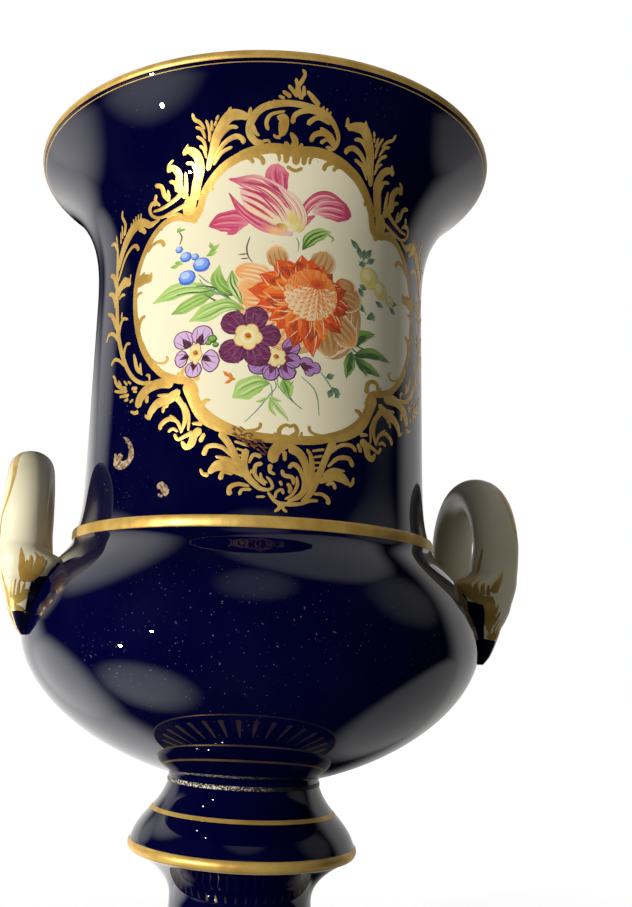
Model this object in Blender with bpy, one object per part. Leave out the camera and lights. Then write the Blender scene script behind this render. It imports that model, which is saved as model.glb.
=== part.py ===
"""Medici vase of cobalt porcelain.

A krater shaped vessel with two loop handles stands on its own round pedestal: a knop, a short
stem and a wide spreading foot. Both pieces are hollow. The pedestal is open underneath.
Units are metres, +Z is up, the handles stand along X and the painted front faces -Y.
The origin is the middle of the ring that the vase stands on.
"""

import math

import bmesh
import bpy

# Pedestal, from the standing surface up
FOOT_EDGE = 0.0070
FOOT_RISE = 0.0350
STEM_TO_KNOP = 0.0172
KNOP_TO_JOINT = 0.0211
FOOT_RADIUS = 0.0676
STEM_RADIUS = 0.0243
KNOP_RADIUS = 0.0394
COLLAR_RADIUS = 0.0264

# Vessel, from its joint with the pedestal up
COLLAR_HEIGHT = 0.0023
BELLY_DEPTH = 0.0497
SHOULDER_RISE = 0.0339
NECK_HEIGHT = 0.0844
FLARE_HEIGHT = 0.0620
BELLY_RADIUS = 0.0808
NECK_RADIUS = 0.0620
RIM_RADIUS = 0.0868

# Walls
WALL = 0.0050
FLOOR = 0.0070
FOOT_WALL = 0.0052
STEM_WALL = 0.0098
PEDESTAL_ROOF = 0.0080
LIP_THICKNESS = 0.0042
JOINT_GAP = 0.0003

# How the curves swell: the bowl's underside and shoulder, the flare, the neck's spread foot,
# the spreading foot, the knop's slope and the hollow under the knop
BELLY_ROUNDNESS = 1.8
SHOULDER_HEIGHT = 0.0508
SHOULDER_BLEND = 40.0
FLARE_POWER = 3.1
NECK_SPREAD = 0.0030
NECK_SPREAD_HEIGHT = 0.0065
FOOT_POWER = 2.6
KNOP_SWELL = 0.07
STEM_POWER = 2.2

# Raised rings: the bead at the neck's foot and the ring round the knop
BEAD_HEIGHT = 0.0038
BEAD_RELIEF = 0.0005
KNOP_RING_HEIGHT = 0.0044

# Handles: each loop has two legs that end on the bowl's side in a leaf. They were put on by
# hand, so the left one stands closer to the neck and its leaves end a little higher.
LEG_SPREAD = 0.0215
LEG_LENGTH = 0.0041
LEFT_STANDOFF = 0.0036
RIGHT_STANDOFF = 0.0074
HANDLE_DEPTH = 0.0160
HANDLE_WIDTH = 0.0140
CHANNEL_DEPTH = 0.0010
CHANNEL_SHARE = 0.2
ROOT_HEIGHT = 0.0370
ROOT_DROP = 0.0055
LEFT_ROOT_LIFT = 0.0036
ROOT_SINK = 0.0025
ROOT_ATTACHED = 0.78
ROOT_LEAN_START = 0.30
ROOT_THICKENING = 0.9

# Where the flare's outside meets the rounded lip, as shares of half the lip's thickness
LIP_END_IN = 0.4
LIP_END_DOWN = 1.8

# Where the knop's slopes meet its ring, as shares of half the ring's height
RING_TOP_UP = 0.5
RING_TOP_IN = 0.25
RING_UNDER = 1.1

# Arcs of the rounded edges, in degrees above the level
LIP_ARC = (-30.0, 110.0)
BEAD_ARC = (-60.0, 60.0)
KNOP_RING_ARC = (50.0, -60.0)
FOOT_EDGE_ARC = (62.0, -62.0)

# How rows of facets crowd towards the neck's lower end and the foot's upper end
NECK_CROWDING = 1.6
FOOT_CROWDING = 0.8

# Hollow under the foot: its span as shares of the foot's rise, its wall and its straight edge
# as shares of the foot's wall, and how far the cutting form reaches below the ground
HOLLOW_SPAN = (0.92, 0.45)
HOLLOW_WALL = 0.7
HOLLOW_EDGE = 0.2
CUT_BELOW = 0.002

# Least height of the hollow's wall over its floor
FLOOR_CLEARANCE = 0.0006

# Facets
TURNS = 36
HANDLE_SIDES = 12
CROWN_STEPS = 11

COBALT = (0.004, 0.006, 0.075, 1.0)


def clear_scene():
    for thing in list(bpy.data.objects):
        bpy.data.objects.remove(thing, do_unlink=True)


def porcelain(name, colour):
    material = bpy.data.materials.new(name)
    material.use_nodes = True
    shader = material.node_tree.nodes["Principled BSDF"]
    shader.inputs["Base Color"].default_value = colour
    shader.inputs["Roughness"].default_value = 0.08
    shader.inputs["Metallic"].default_value = 0.0
    return material


def steps(first, last, count):
    """Evenly spaced values from first to last, both included."""
    return [first + (last - first) * i / (count - 1) for i in range(count)]


def arc(centre_r, centre_z, radius, first, last, count):
    """Points (r, z) on an arc between two angles in degrees."""
    points = []
    for angle in steps(math.radians(first), math.radians(last), count):
        points.append((centre_r + radius * math.cos(angle), centre_z + radius * math.sin(angle)))
    return points


def underside_share():
    """Share of the bowl's depth at which its underside has shrunk to the collar."""
    share = (COLLAR_RADIUS / BELLY_RADIUS) ** BELLY_ROUNDNESS
    return (1.0 - share) ** (1.0 / BELLY_ROUNDNESS)


# Heights that follow from the lengths above
STEM_Z = FOOT_EDGE + FOOT_RISE
KNOP_Z = STEM_Z + STEM_TO_KNOP
JOINT_Z = KNOP_Z + KNOP_TO_JOINT
UNDERSIDE_Z = JOINT_Z + COLLAR_HEIGHT
BELLY_Z = UNDERSIDE_Z + BELLY_DEPTH * underside_share()
BEAD_Z = BELLY_Z + SHOULDER_RISE
FLARE_Z = BEAD_Z + NECK_HEIGHT
RIM_Z = FLARE_Z + FLARE_HEIGHT
STEM_BORE_RADIUS = STEM_RADIUS - STEM_WALL


def lip_end():
    """Radius and height where the flare's outside runs into the rounded lip."""
    half = LIP_THICKNESS / 2.0
    return RIM_RADIUS - LIP_END_IN * half, RIM_Z - LIP_END_DOWN * half


def outer_radius(z):
    """Radius of the vessel's outside at height z, from the collar up to the lip."""
    if z < BELLY_Z:
        share = min((BELLY_Z - z) / BELLY_DEPTH, 1.0)
        return BELLY_RADIUS * (1.0 - share ** BELLY_ROUNDNESS) ** (1.0 / BELLY_ROUNDNESS)
    end_r, end_z = lip_end()
    rise = max(z - FLARE_Z, 0.0) / (end_z - FLARE_Z)
    flare = (end_r - NECK_RADIUS) * rise ** FLARE_POWER
    spread = NECK_SPREAD * math.exp(-max(z - BEAD_Z, 0.0) / NECK_SPREAD_HEIGHT)
    neck = NECK_RADIUS + flare + spread
    share = min((z - BELLY_Z) / SHOULDER_HEIGHT, 1.0)
    bowl = BELLY_RADIUS * math.sqrt(1.0 - share * share)
    less = min(neck, bowl) / max(neck, bowl)
    return max(neck, bowl) * (1.0 + less ** SHOULDER_BLEND) ** (1.0 / SHOULDER_BLEND)


def wall_point(z, depth):
    """Point (r, z) at the depth given under the vessel's outside, square to its surface."""
    step = 1e-5
    slope = (outer_radius(z + step) - outer_radius(z - step)) / (2.0 * step)
    length = math.hypot(1.0, slope)
    return outer_radius(z) - depth / length, z + depth * slope / length


def vessel_outside():
    """Profile from the middle of the joint face up to the lip."""
    points = [(0.0, JOINT_Z), (COLLAR_RADIUS, JOINT_Z)]
    for angle in steps(0.0, math.pi / 2.0, 12):
        z = UNDERSIDE_Z + (BELLY_Z - UNDERSIDE_Z) * (1.0 - math.cos(angle))
        points.append((outer_radius(z), z))
    bead_low = BEAD_Z - BEAD_HEIGHT / 2.0
    for angle in steps(0.0, math.pi / 2.0, 9)[1:]:
        z = BELLY_Z + (bead_low - BELLY_Z) * math.sin(angle)
        points.append((outer_radius(z), z))
    for angle in steps(*BEAD_ARC, 3):
        z = BEAD_Z + 0.5 * BEAD_HEIGHT * math.sin(math.radians(angle))
        points.append((outer_radius(BEAD_Z) + BEAD_RELIEF * math.cos(math.radians(angle)), z))
    bead_high = BEAD_Z + BEAD_HEIGHT / 2.0
    for share in steps(0.0, 1.0, 6):
        z = bead_high + (FLARE_Z - bead_high) * share ** NECK_CROWDING
        points.append((outer_radius(z), z))
    for share in steps(0.0, 1.0, 9)[1:]:
        z = FLARE_Z + (lip_end()[1] - FLARE_Z) * share
        points.append((outer_radius(z), z))
    return points


def lip():
    """Rounded edge of the mouth, from the outside over to the inside."""
    half = LIP_THICKNESS / 2.0
    return arc(RIM_RADIUS - half, RIM_Z - half, half, *LIP_ARC, 5)


def vessel_inside():
    """Profile of the hollow from the lip down to the middle of its floor."""
    points = []
    end_z = lip_end()[1]
    for share in steps(1.0, 0.0, 7):
        z = FLARE_Z + (end_z - FLARE_Z) * share
        points.append(wall_point(z, LIP_THICKNESS + (WALL - LIP_THICKNESS) * (1.0 - share)))
    for z in steps(FLARE_Z, BEAD_Z, 4)[1:]:
        points.append(wall_point(z, WALL))
    for angle in steps(0.0, math.pi / 2.0, 8)[1:]:
        points.append(wall_point(BEAD_Z + (BELLY_Z - BEAD_Z) * math.sin(angle), WALL))
    floor_z = JOINT_Z + FLOOR
    for angle in steps(math.pi / 2.0, 0.0, 12)[1:]:
        z = UNDERSIDE_Z + (BELLY_Z - UNDERSIDE_Z) * (1.0 - math.cos(angle))
        point = wall_point(z, WALL)
        if point[1] > floor_z + FLOOR_CLEARANCE:
            points.append(point)
    points.append((0.0, floor_z))
    return points


def foot_radius(z):
    """Radius of the pedestal's spreading foot, from the stem down to its edge."""
    share = (STEM_Z - z) / FOOT_RISE
    shelf = FOOT_RADIUS - FOOT_EDGE / 2.0
    return STEM_RADIUS + (shelf - STEM_RADIUS) * max(share, 0.0) ** FOOT_POWER


def pedestal_outside():
    """Profile from the middle of the joint face down over knop, stem and foot."""
    top_z = JOINT_Z - JOINT_GAP
    ring = KNOP_RING_HEIGHT / 2.0
    points = [(0.0, top_z), (COLLAR_RADIUS, top_z)]
    edge_r = KNOP_RADIUS - RING_TOP_IN * ring
    for share in steps(0.0, 1.0, 9)[1:-1]:
        z = top_z + (KNOP_Z + RING_TOP_UP * ring - top_z) * share
        swell = share - KNOP_SWELL * math.sin(2.0 * math.pi * share)
        points.append((COLLAR_RADIUS + (edge_r - COLLAR_RADIUS) * swell, z))
    points += arc(KNOP_RADIUS - ring, KNOP_Z, ring, *KNOP_RING_ARC, 5)
    under_z = KNOP_Z - RING_UNDER * ring
    under_r = KNOP_RADIUS - RING_UNDER * ring
    for share in steps(0.0, 1.0, 7):
        z = under_z + (STEM_Z - under_z) * share
        points.append((STEM_RADIUS + (under_r - STEM_RADIUS) * (1.0 - share) ** STEM_POWER, z))
    for share in steps(0.0, 1.0, 10)[1:]:
        z = STEM_Z - FOOT_RISE * share ** FOOT_CROWDING
        points.append((foot_radius(z), z))
    half = FOOT_EDGE / 2.0
    points += arc(FOOT_RADIUS - half, half, half, *FOOT_EDGE_ARC, 5)
    points += [(FOOT_RADIUS - half, 0.0), (0.0, 0.0)]
    return points


def pedestal_hollow():
    """Profile of the hollow in the pedestal, open at the ring that the vase stands on."""
    below = -CUT_BELOW
    mouth_r = FOOT_RADIUS - FOOT_EDGE / 2.0 - FOOT_WALL
    points = [(0.0, below), (mouth_r, below), (mouth_r, HOLLOW_EDGE * FOOT_WALL)]
    for share in steps(*HOLLOW_SPAN, 6):
        z = STEM_Z - FOOT_RISE * share
        radius = foot_radius(z) - HOLLOW_WALL * FOOT_WALL
        if radius > STEM_BORE_RADIUS:
            points.append((radius, z - HOLLOW_WALL * FOOT_WALL))
    roof_z = JOINT_Z - JOINT_GAP - PEDESTAL_ROOF
    points += [(STEM_BORE_RADIUS, STEM_Z - FOOT_WALL), (STEM_BORE_RADIUS, roof_z), (0.0, roof_z)]
    return points


def mesh_object(name, shape, material=None):
    mesh = bpy.data.meshes.new(name)
    shape.normal_update()
    shape.to_mesh(mesh)
    shape.free()
    mesh.shade_smooth()
    mesh.set_sharp_from_angle(angle=math.radians(35.0))
    thing = bpy.data.objects.new(name, mesh)
    bpy.context.scene.collection.objects.link(thing)
    if material is not None:
        mesh.materials.append(material)
    return thing


def turned(name, outline, material=None):
    """A solid of revolution about Z from an outline that starts and ends on the axis."""
    shape = bmesh.new()
    verts = [shape.verts.new((r, 0.0, z)) for r, z in outline]
    edges = [shape.edges.new(pair) for pair in zip(verts[:-1], verts[1:])]
    bmesh.ops.spin(shape, geom=verts + edges, cent=(0.0, 0.0, 0.0), axis=(0.0, 0.0, 1.0),
                   dvec=(0.0, 0.0, 0.0), angle=2.0 * math.pi, steps=TURNS, use_merge=True,
                   use_normal_flip=False, use_duplicate=False)
    bmesh.ops.remove_doubles(shape, verts=shape.verts, dist=1e-6)
    bmesh.ops.recalc_face_normals(shape, faces=shape.faces)
    return mesh_object(name, shape, material)


def cutter(thing):
    thing.hide_render = True
    thing.display_type = "WIRE"
    return thing


def boolean(target, tool, operation):
    """Join or cut target by tool, keep the result as its mesh and drop the tool."""
    change = target.modifiers.new(tool.name, "BOOLEAN")
    change.operation = operation
    change.solver = "EXACT"
    change.object = tool
    view = bpy.context.evaluated_depsgraph_get()
    view.update()
    result = bpy.data.meshes.new_from_object(target.evaluated_get(view), depsgraph=view)
    old = target.data
    target.modifiers.clear()
    target.data = result
    result.name = target.name
    bpy.data.meshes.remove(old)
    bpy.data.objects.remove(tool, do_unlink=True)


def side_x(z):
    """How far out the vessel's side stands at height z, where a leg comes down to it."""
    return math.sqrt(outer_radius(z) ** 2 - LEG_SPREAD ** 2)


def root_stations(lean, lift):
    """Sections of one leg from the leaf's tip up to where the leg stands free.

    Each row below gives a share of the root's height, the middle's stand-off from the bowl's
    side and the depth away from the bowl as shares of their full sizes, and the half width as
    a share of the leg's: it swells and narrows three times for the leaf's lobes.
    """
    rows = [
        (0.00, 0.11, 0.09, 0.25), (0.07, 0.24, 0.22, 0.55), (0.17, 0.36, 0.33, 0.78),
        (0.26, 0.45, 0.42, 0.88), (0.34, 0.51, 0.52, 0.90), (0.40, 0.56, 0.62, 1.14),
        (0.49, 0.66, 0.74, 1.24), (0.58, 0.73, 0.84, 1.14), (0.64, 0.77, 0.89, 1.26),
        (0.74, 0.83, 0.95, 1.36), (0.84, 0.88, 0.97, 1.24), (0.93, 0.93, 1.00, 1.06),
    ]
    stations = []
    tip_z = BELLY_Z - ROOT_DROP + lift
    leaf_height = ROOT_HEIGHT - lift
    base_x = side_x(BELLY_Z)
    depth = HANDLE_DEPTH / 2.0
    for share, stand, outer, half in rows:
        z = tip_z + leaf_height * share
        leaning = max(share - ROOT_LEAN_START, 0.0) / (1.0 - ROOT_LEAN_START)
        middle = base_x + RIGHT_STANDOFF * stand - lean * leaning
        reach = middle - side_x(z) + ROOT_SINK
        free = depth * (1.0 + ROOT_THICKENING * (1.0 - share))
        inner = reach if share < ROOT_ATTACHED else free
        stations.append((z, middle, inner, depth * outer, half * HANDLE_WIDTH / 2.0))
    return stations


def handle_sections(lean, lift):
    """Sections of the whole loop: up the near leg, over the crown and down the far leg.

    Each holds the place along Y and Z, the turn of the section, the middle's X, the depths
    towards and away from the neck, and the half width.
    """
    half = HANDLE_WIDTH / 2.0
    depth = HANDLE_DEPTH / 2.0
    middle = side_x(BELLY_Z) + RIGHT_STANDOFF - lean
    spring_z = BELLY_Z - ROOT_DROP + ROOT_HEIGHT + LEG_LENGTH
    sections = []
    leg = root_stations(lean, lift)
    for z, x, inner, outer, width in leg:
        sections.append((-LEG_SPREAD, z, 0.0, x, inner, outer, width))
    for turn in steps(0.0, 180.0, CROWN_STEPS):
        y = -LEG_SPREAD * math.cos(math.radians(turn))
        z = spring_z + LEG_SPREAD * math.sin(math.radians(turn))
        sections.append((y, z, turn, middle, depth, depth, half))
    for z, x, inner, outer, width in reversed(leg):
        sections.append((LEG_SPREAD, z, 180.0, x, inner, outer, width))
    return sections


def handle(name, side, standoff, lift):
    """A loop handle at the side of the sign given, with a shallow channel down its back."""
    shape = bmesh.new()
    rings = []
    lean = RIGHT_STANDOFF - standoff
    for y, z, turn, middle, inner, outer, half in handle_sections(lean, lift):
        across_y = -math.cos(math.radians(turn))
        across_z = math.sin(math.radians(turn))
        ring = []
        for i in range(HANDLE_SIDES):
            angle = 2.0 * math.pi * i / HANDLE_SIDES
            out = math.cos(angle)
            depth = out * (outer if out > 0.0 else inner)
            if i == 0:
                depth -= min(CHANNEL_DEPTH, CHANNEL_SHARE * outer)
            off = half * math.sin(angle)
            ring.append(shape.verts.new((side * (middle + depth), y + off * across_y,
                                         z + off * across_z)))
        rings.append(ring)
    for low, high in zip(rings[:-1], rings[1:]):
        for i in range(HANDLE_SIDES):
            j = (i + 1) % HANDLE_SIDES
            shape.faces.new((low[i], low[j], high[j], high[i]))
    shape.faces.new(rings[0])
    shape.faces.new(rings[-1])
    bmesh.ops.recalc_face_normals(shape, faces=shape.faces)
    return mesh_object(name, shape)


def build_vessel():
    """The vessel and its two handles, one fired piece."""
    outline = vessel_outside() + lip() + vessel_inside()
    vessel = turned("vase_body", outline, porcelain("cobalt_glaze", COBALT))
    boolean(vessel, handle("left_handle", -1.0, LEFT_STANDOFF, LEFT_ROOT_LIFT), "UNION")
    boolean(vessel, handle("right_handle", 1.0, RIGHT_STANDOFF, 0.0), "UNION")
    return vessel


def build_pedestal():
    """Knop, stem and round foot, one fired piece."""
    foot = turned("pedestal_foot", pedestal_outside(), porcelain("cobalt_glaze_foot", COBALT))
    boolean(foot, cutter(turned("pedestal_hollow", pedestal_hollow())), "DIFFERENCE")
    return foot


def main():
    clear_scene()
    build_vessel()
    build_pedestal()


main()
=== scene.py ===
"""Cobalt porcelain medici vase with gilding and a painted panel, on a plain pale stage.

The script is laid out as an add-on and is run as a script. Every piece is made in metres in the
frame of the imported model: +Z is up, the handles stand along X and the painted front faces -Y.
"""

import math
import random

import bmesh
import bpy
from mathutils import Matrix, Vector


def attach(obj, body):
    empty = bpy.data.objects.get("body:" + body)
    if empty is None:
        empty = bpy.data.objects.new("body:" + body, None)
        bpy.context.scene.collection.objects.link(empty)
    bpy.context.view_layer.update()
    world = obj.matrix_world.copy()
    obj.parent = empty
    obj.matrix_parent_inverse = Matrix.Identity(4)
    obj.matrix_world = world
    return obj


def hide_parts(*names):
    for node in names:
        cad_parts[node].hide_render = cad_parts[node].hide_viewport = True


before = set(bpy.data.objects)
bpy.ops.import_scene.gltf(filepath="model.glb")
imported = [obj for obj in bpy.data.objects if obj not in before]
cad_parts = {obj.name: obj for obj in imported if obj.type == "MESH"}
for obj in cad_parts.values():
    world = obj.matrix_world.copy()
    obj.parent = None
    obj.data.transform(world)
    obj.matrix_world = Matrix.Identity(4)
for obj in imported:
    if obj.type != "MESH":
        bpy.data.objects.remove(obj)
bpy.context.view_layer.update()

bl_info = {
    "name": "Medici vase",
    "version": (1, 0, 0),
    "blender": (4, 5, 0),
    "location": "View3D > Sidebar > Vase",
    "description": "Builds a gilt and painted porcelain vase on a pale stage",
    "category": "Object",
}

MM = 0.001
BODY = "root"
GOLD_METAL = 0.50

# Turned form, as the solids have it
FOOT_EDGE = 0.0070
FOOT_RISE = 0.0350
STEM_TO_KNOP = 0.0172
KNOP_TO_JOINT = 0.0211
FOOT_RADIUS = 0.0676
STEM_RADIUS = 0.0243
KNOP_RADIUS = 0.0394
COLLAR_RADIUS = 0.0264
COLLAR_HEIGHT = 0.0023
BELLY_DEPTH = 0.0497
SHOULDER_RISE = 0.0339
NECK_HEIGHT = 0.0844
FLARE_HEIGHT = 0.0620
BELLY_RADIUS = 0.0808
NECK_RADIUS = 0.0620
RIM_RADIUS = 0.0868
WALL = 0.0050
FLOOR = 0.0070
FOOT_WALL = 0.0052
STEM_WALL = 0.0098
PEDESTAL_ROOF = 0.0080
LIP_THICKNESS = 0.0042
JOINT_GAP = 0.0003
BELLY_ROUNDNESS = 1.8
SHOULDER_HEIGHT = 0.0508
SHOULDER_BLEND = 40.0
FLARE_POWER = 3.1
NECK_SPREAD = 0.0030
NECK_SPREAD_HEIGHT = 0.0065
FOOT_POWER = 2.6
KNOP_SWELL = 0.07
STEM_POWER = 2.2
BEAD_HEIGHT = 0.0038
BEAD_RELIEF = 0.0005
KNOP_RING_HEIGHT = 0.0044

# Where the flare runs into the lip, as shares of half the lip, and where the knop's slopes meet
# its ring, as shares of half the ring
LIP_END_IN = 0.4
LIP_END_DOWN = 1.8
RING_TOP_UP = 0.5
RING_TOP_IN = 0.25
RING_UNDER = 1.1

# Arcs of the rounded edges, in degrees above the level
LIP_ARC = (-30.0, 110.0)
BEAD_ARC = (-75.0, 75.0)
KNOP_RING_ARC = (50.0, -60.0)
FOOT_EDGE_ARC = (62.0, -62.0)

# How rows crowd towards the neck's lower end and the foot's upper end
NECK_CROWDING = 1.6
FOOT_CROWDING = 0.8

# Hollow under the foot, as shares of the foot's rise and wall, and the least rise over the floor
HOLLOW_SPAN = (0.92, 0.45)
HOLLOW_WALL = 0.7
HOLLOW_EDGE = 0.2
FLOOR_CLEARANCE = 0.0006

# Handles
LEG_SPREAD = 0.0215
LEG_LENGTH = 0.0041
LEFT_STANDOFF = 0.0036
RIGHT_STANDOFF = 0.0074
HANDLE_DEPTH = 0.0160
HANDLE_WIDTH = 0.0140
CHANNEL_DEPTH = 0.0010
CHANNEL_SHARE = 0.2
CHANNEL_TURN = 0.33
ROOT_HEIGHT = 0.0370
ROOT_DROP = 0.0055
LEFT_ROOT_LIFT = 0.0036
ROOT_SINK = 0.0025
ROOT_ATTACHED = 0.78
ROOT_LEAN_START = 0.30
ROOT_THICKENING = 0.9

TURNS = 192


def underside_share():
    share = (COLLAR_RADIUS / BELLY_RADIUS) ** BELLY_ROUNDNESS
    return (1.0 - share) ** (1.0 / BELLY_ROUNDNESS)


STEM_Z = FOOT_EDGE + FOOT_RISE
KNOP_Z = STEM_Z + STEM_TO_KNOP
JOINT_Z = KNOP_Z + KNOP_TO_JOINT
UNDERSIDE_Z = JOINT_Z + COLLAR_HEIGHT
BELLY_Z = UNDERSIDE_Z + BELLY_DEPTH * underside_share()
BEAD_Z = BELLY_Z + SHOULDER_RISE
FLARE_Z = BEAD_Z + NECK_HEIGHT
RIM_Z = FLARE_Z + FLARE_HEIGHT
STEM_BORE_RADIUS = STEM_RADIUS - STEM_WALL


def steps(first, last, count):
    """Evenly spaced values from first to last, both included."""
    return [first + (last - first) * i / (count - 1) for i in range(count)]


def arc(centre_r, centre_z, radius, first, last, count):
    """Points (r, z) on an arc between two angles in degrees."""
    points = []
    for angle in steps(math.radians(first), math.radians(last), count):
        points.append((centre_r + radius * math.cos(angle), centre_z + radius * math.sin(angle)))
    return points


def lip_end():
    """Radius and height where the flare's outside runs into the rounded lip."""
    half = LIP_THICKNESS / 2.0
    return RIM_RADIUS - LIP_END_IN * half, RIM_Z - LIP_END_DOWN * half


def outer_radius(z):
    """Radius of the vessel's outside at height z, from the collar up to the lip."""
    if z < BELLY_Z:
        share = min((BELLY_Z - z) / BELLY_DEPTH, 1.0)
        return BELLY_RADIUS * (1.0 - share ** BELLY_ROUNDNESS) ** (1.0 / BELLY_ROUNDNESS)
    end_r, end_z = lip_end()
    rise = max(z - FLARE_Z, 0.0) / (end_z - FLARE_Z)
    flare = (end_r - NECK_RADIUS) * rise ** FLARE_POWER
    spread = NECK_SPREAD * math.exp(-max(z - BEAD_Z, 0.0) / NECK_SPREAD_HEIGHT)
    neck = NECK_RADIUS + flare + spread
    share = min((z - BELLY_Z) / SHOULDER_HEIGHT, 1.0)
    bowl = BELLY_RADIUS * math.sqrt(1.0 - share * share)
    less = min(neck, bowl) / max(neck, bowl)
    return max(neck, bowl) * (1.0 + less ** SHOULDER_BLEND) ** (1.0 / SHOULDER_BLEND)


def wall_point(z, depth):
    """Point (r, z) at the depth given under the vessel's outside, square to its surface."""
    step = 1e-5
    slope = (outer_radius(z + step) - outer_radius(z - step)) / (2.0 * step)
    length = math.hypot(1.0, slope)
    return outer_radius(z) - depth / length, z + depth * slope / length


def vessel_outside():
    points = [(0.0, JOINT_Z), (COLLAR_RADIUS, JOINT_Z)]
    for angle in steps(0.0, math.pi / 2.0, 34):
        z = UNDERSIDE_Z + (BELLY_Z - UNDERSIDE_Z) * (1.0 - math.cos(angle))
        points.append((outer_radius(z), z))
    bead_low = BEAD_Z - BEAD_HEIGHT / 2.0
    for angle in steps(0.0, math.pi / 2.0, 24)[1:]:
        z = BELLY_Z + (bead_low - BELLY_Z) * math.sin(angle)
        points.append((outer_radius(z), z))
    for angle in steps(*BEAD_ARC, 7):
        z = BEAD_Z + 0.5 * BEAD_HEIGHT * math.sin(math.radians(angle))
        points.append((outer_radius(BEAD_Z) + BEAD_RELIEF * math.cos(math.radians(angle)), z))
    bead_high = BEAD_Z + BEAD_HEIGHT / 2.0
    for share in steps(0.0, 1.0, 22):
        z = bead_high + (FLARE_Z - bead_high) * share ** NECK_CROWDING
        points.append((outer_radius(z), z))
    for share in steps(0.0, 1.0, 28)[1:]:
        z = FLARE_Z + (lip_end()[1] - FLARE_Z) * share
        points.append((outer_radius(z), z))
    return points


def lip():
    half = LIP_THICKNESS / 2.0
    return arc(RIM_RADIUS - half, RIM_Z - half, half, *LIP_ARC, 13)


def vessel_inside():
    points = []
    end_z = lip_end()[1]
    for share in steps(1.0, 0.0, 16):
        z = FLARE_Z + (end_z - FLARE_Z) * share
        points.append(wall_point(z, LIP_THICKNESS + (WALL - LIP_THICKNESS) * (1.0 - share)))
    for z in steps(FLARE_Z, BEAD_Z, 10)[1:]:
        points.append(wall_point(z, WALL))
    for angle in steps(0.0, math.pi / 2.0, 14)[1:]:
        points.append(wall_point(BEAD_Z + (BELLY_Z - BEAD_Z) * math.sin(angle), WALL))
    floor_z = JOINT_Z + FLOOR
    for angle in steps(math.pi / 2.0, 0.0, 24)[1:]:
        z = UNDERSIDE_Z + (BELLY_Z - UNDERSIDE_Z) * (1.0 - math.cos(angle))
        point = wall_point(z, WALL)
        if point[1] > floor_z + FLOOR_CLEARANCE:
            points.append(point)
    points.append((0.0, floor_z))
    return points


def foot_radius(z):
    share = (STEM_Z - z) / FOOT_RISE
    shelf = FOOT_RADIUS - FOOT_EDGE / 2.0
    return STEM_RADIUS + (shelf - STEM_RADIUS) * max(share, 0.0) ** FOOT_POWER


def knop_slope(share):
    """Point (r, z) on the knop's upper slope, from the joint down to the ring."""
    top_z = JOINT_Z - JOINT_GAP
    ring = KNOP_RING_HEIGHT / 2.0
    z = top_z + (KNOP_Z + RING_TOP_UP * ring - top_z) * share
    swell = share - KNOP_SWELL * math.sin(2.0 * math.pi * share)
    return COLLAR_RADIUS + (KNOP_RADIUS - RING_TOP_IN * ring - COLLAR_RADIUS) * swell, z


def pedestal_outside():
    top_z = JOINT_Z - JOINT_GAP
    ring = KNOP_RING_HEIGHT / 2.0
    points = [(0.0, top_z), (COLLAR_RADIUS, top_z)]
    points += [knop_slope(share) for share in steps(0.0, 1.0, 20)[1:-1]]
    points += arc(KNOP_RADIUS - ring, KNOP_Z, ring, *KNOP_RING_ARC, 11)
    under_z = KNOP_Z - RING_UNDER * ring
    under_r = KNOP_RADIUS - RING_UNDER * ring
    for share in steps(0.0, 1.0, 18):
        z = under_z + (STEM_Z - under_z) * share
        points.append((STEM_RADIUS + (under_r - STEM_RADIUS) * (1.0 - share) ** STEM_POWER, z))
    for share in steps(0.0, 1.0, 26)[1:]:
        z = STEM_Z - FOOT_RISE * share ** FOOT_CROWDING
        points.append((foot_radius(z), z))
    half = FOOT_EDGE / 2.0
    points += arc(FOOT_RADIUS - half, half, half, *FOOT_EDGE_ARC, 11)
    return points


def pedestal_underside():
    half = FOOT_EDGE / 2.0
    mouth_r = FOOT_RADIUS - half - FOOT_WALL
    points = [(FOOT_RADIUS - half, 0.0), (mouth_r, 0.0), (mouth_r, HOLLOW_EDGE * FOOT_WALL)]
    for share in steps(*HOLLOW_SPAN, 16):
        z = STEM_Z - FOOT_RISE * share
        radius = foot_radius(z) - HOLLOW_WALL * FOOT_WALL
        if radius > STEM_BORE_RADIUS:
            points.append((radius, z - HOLLOW_WALL * FOOT_WALL))
    roof_z = JOINT_Z - JOINT_GAP - PEDESTAL_ROOF
    points += [(STEM_BORE_RADIUS, STEM_Z - FOOT_WALL), (STEM_BORE_RADIUS, roof_z), (0.0, roof_z)]
    return points


# Materials


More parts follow.
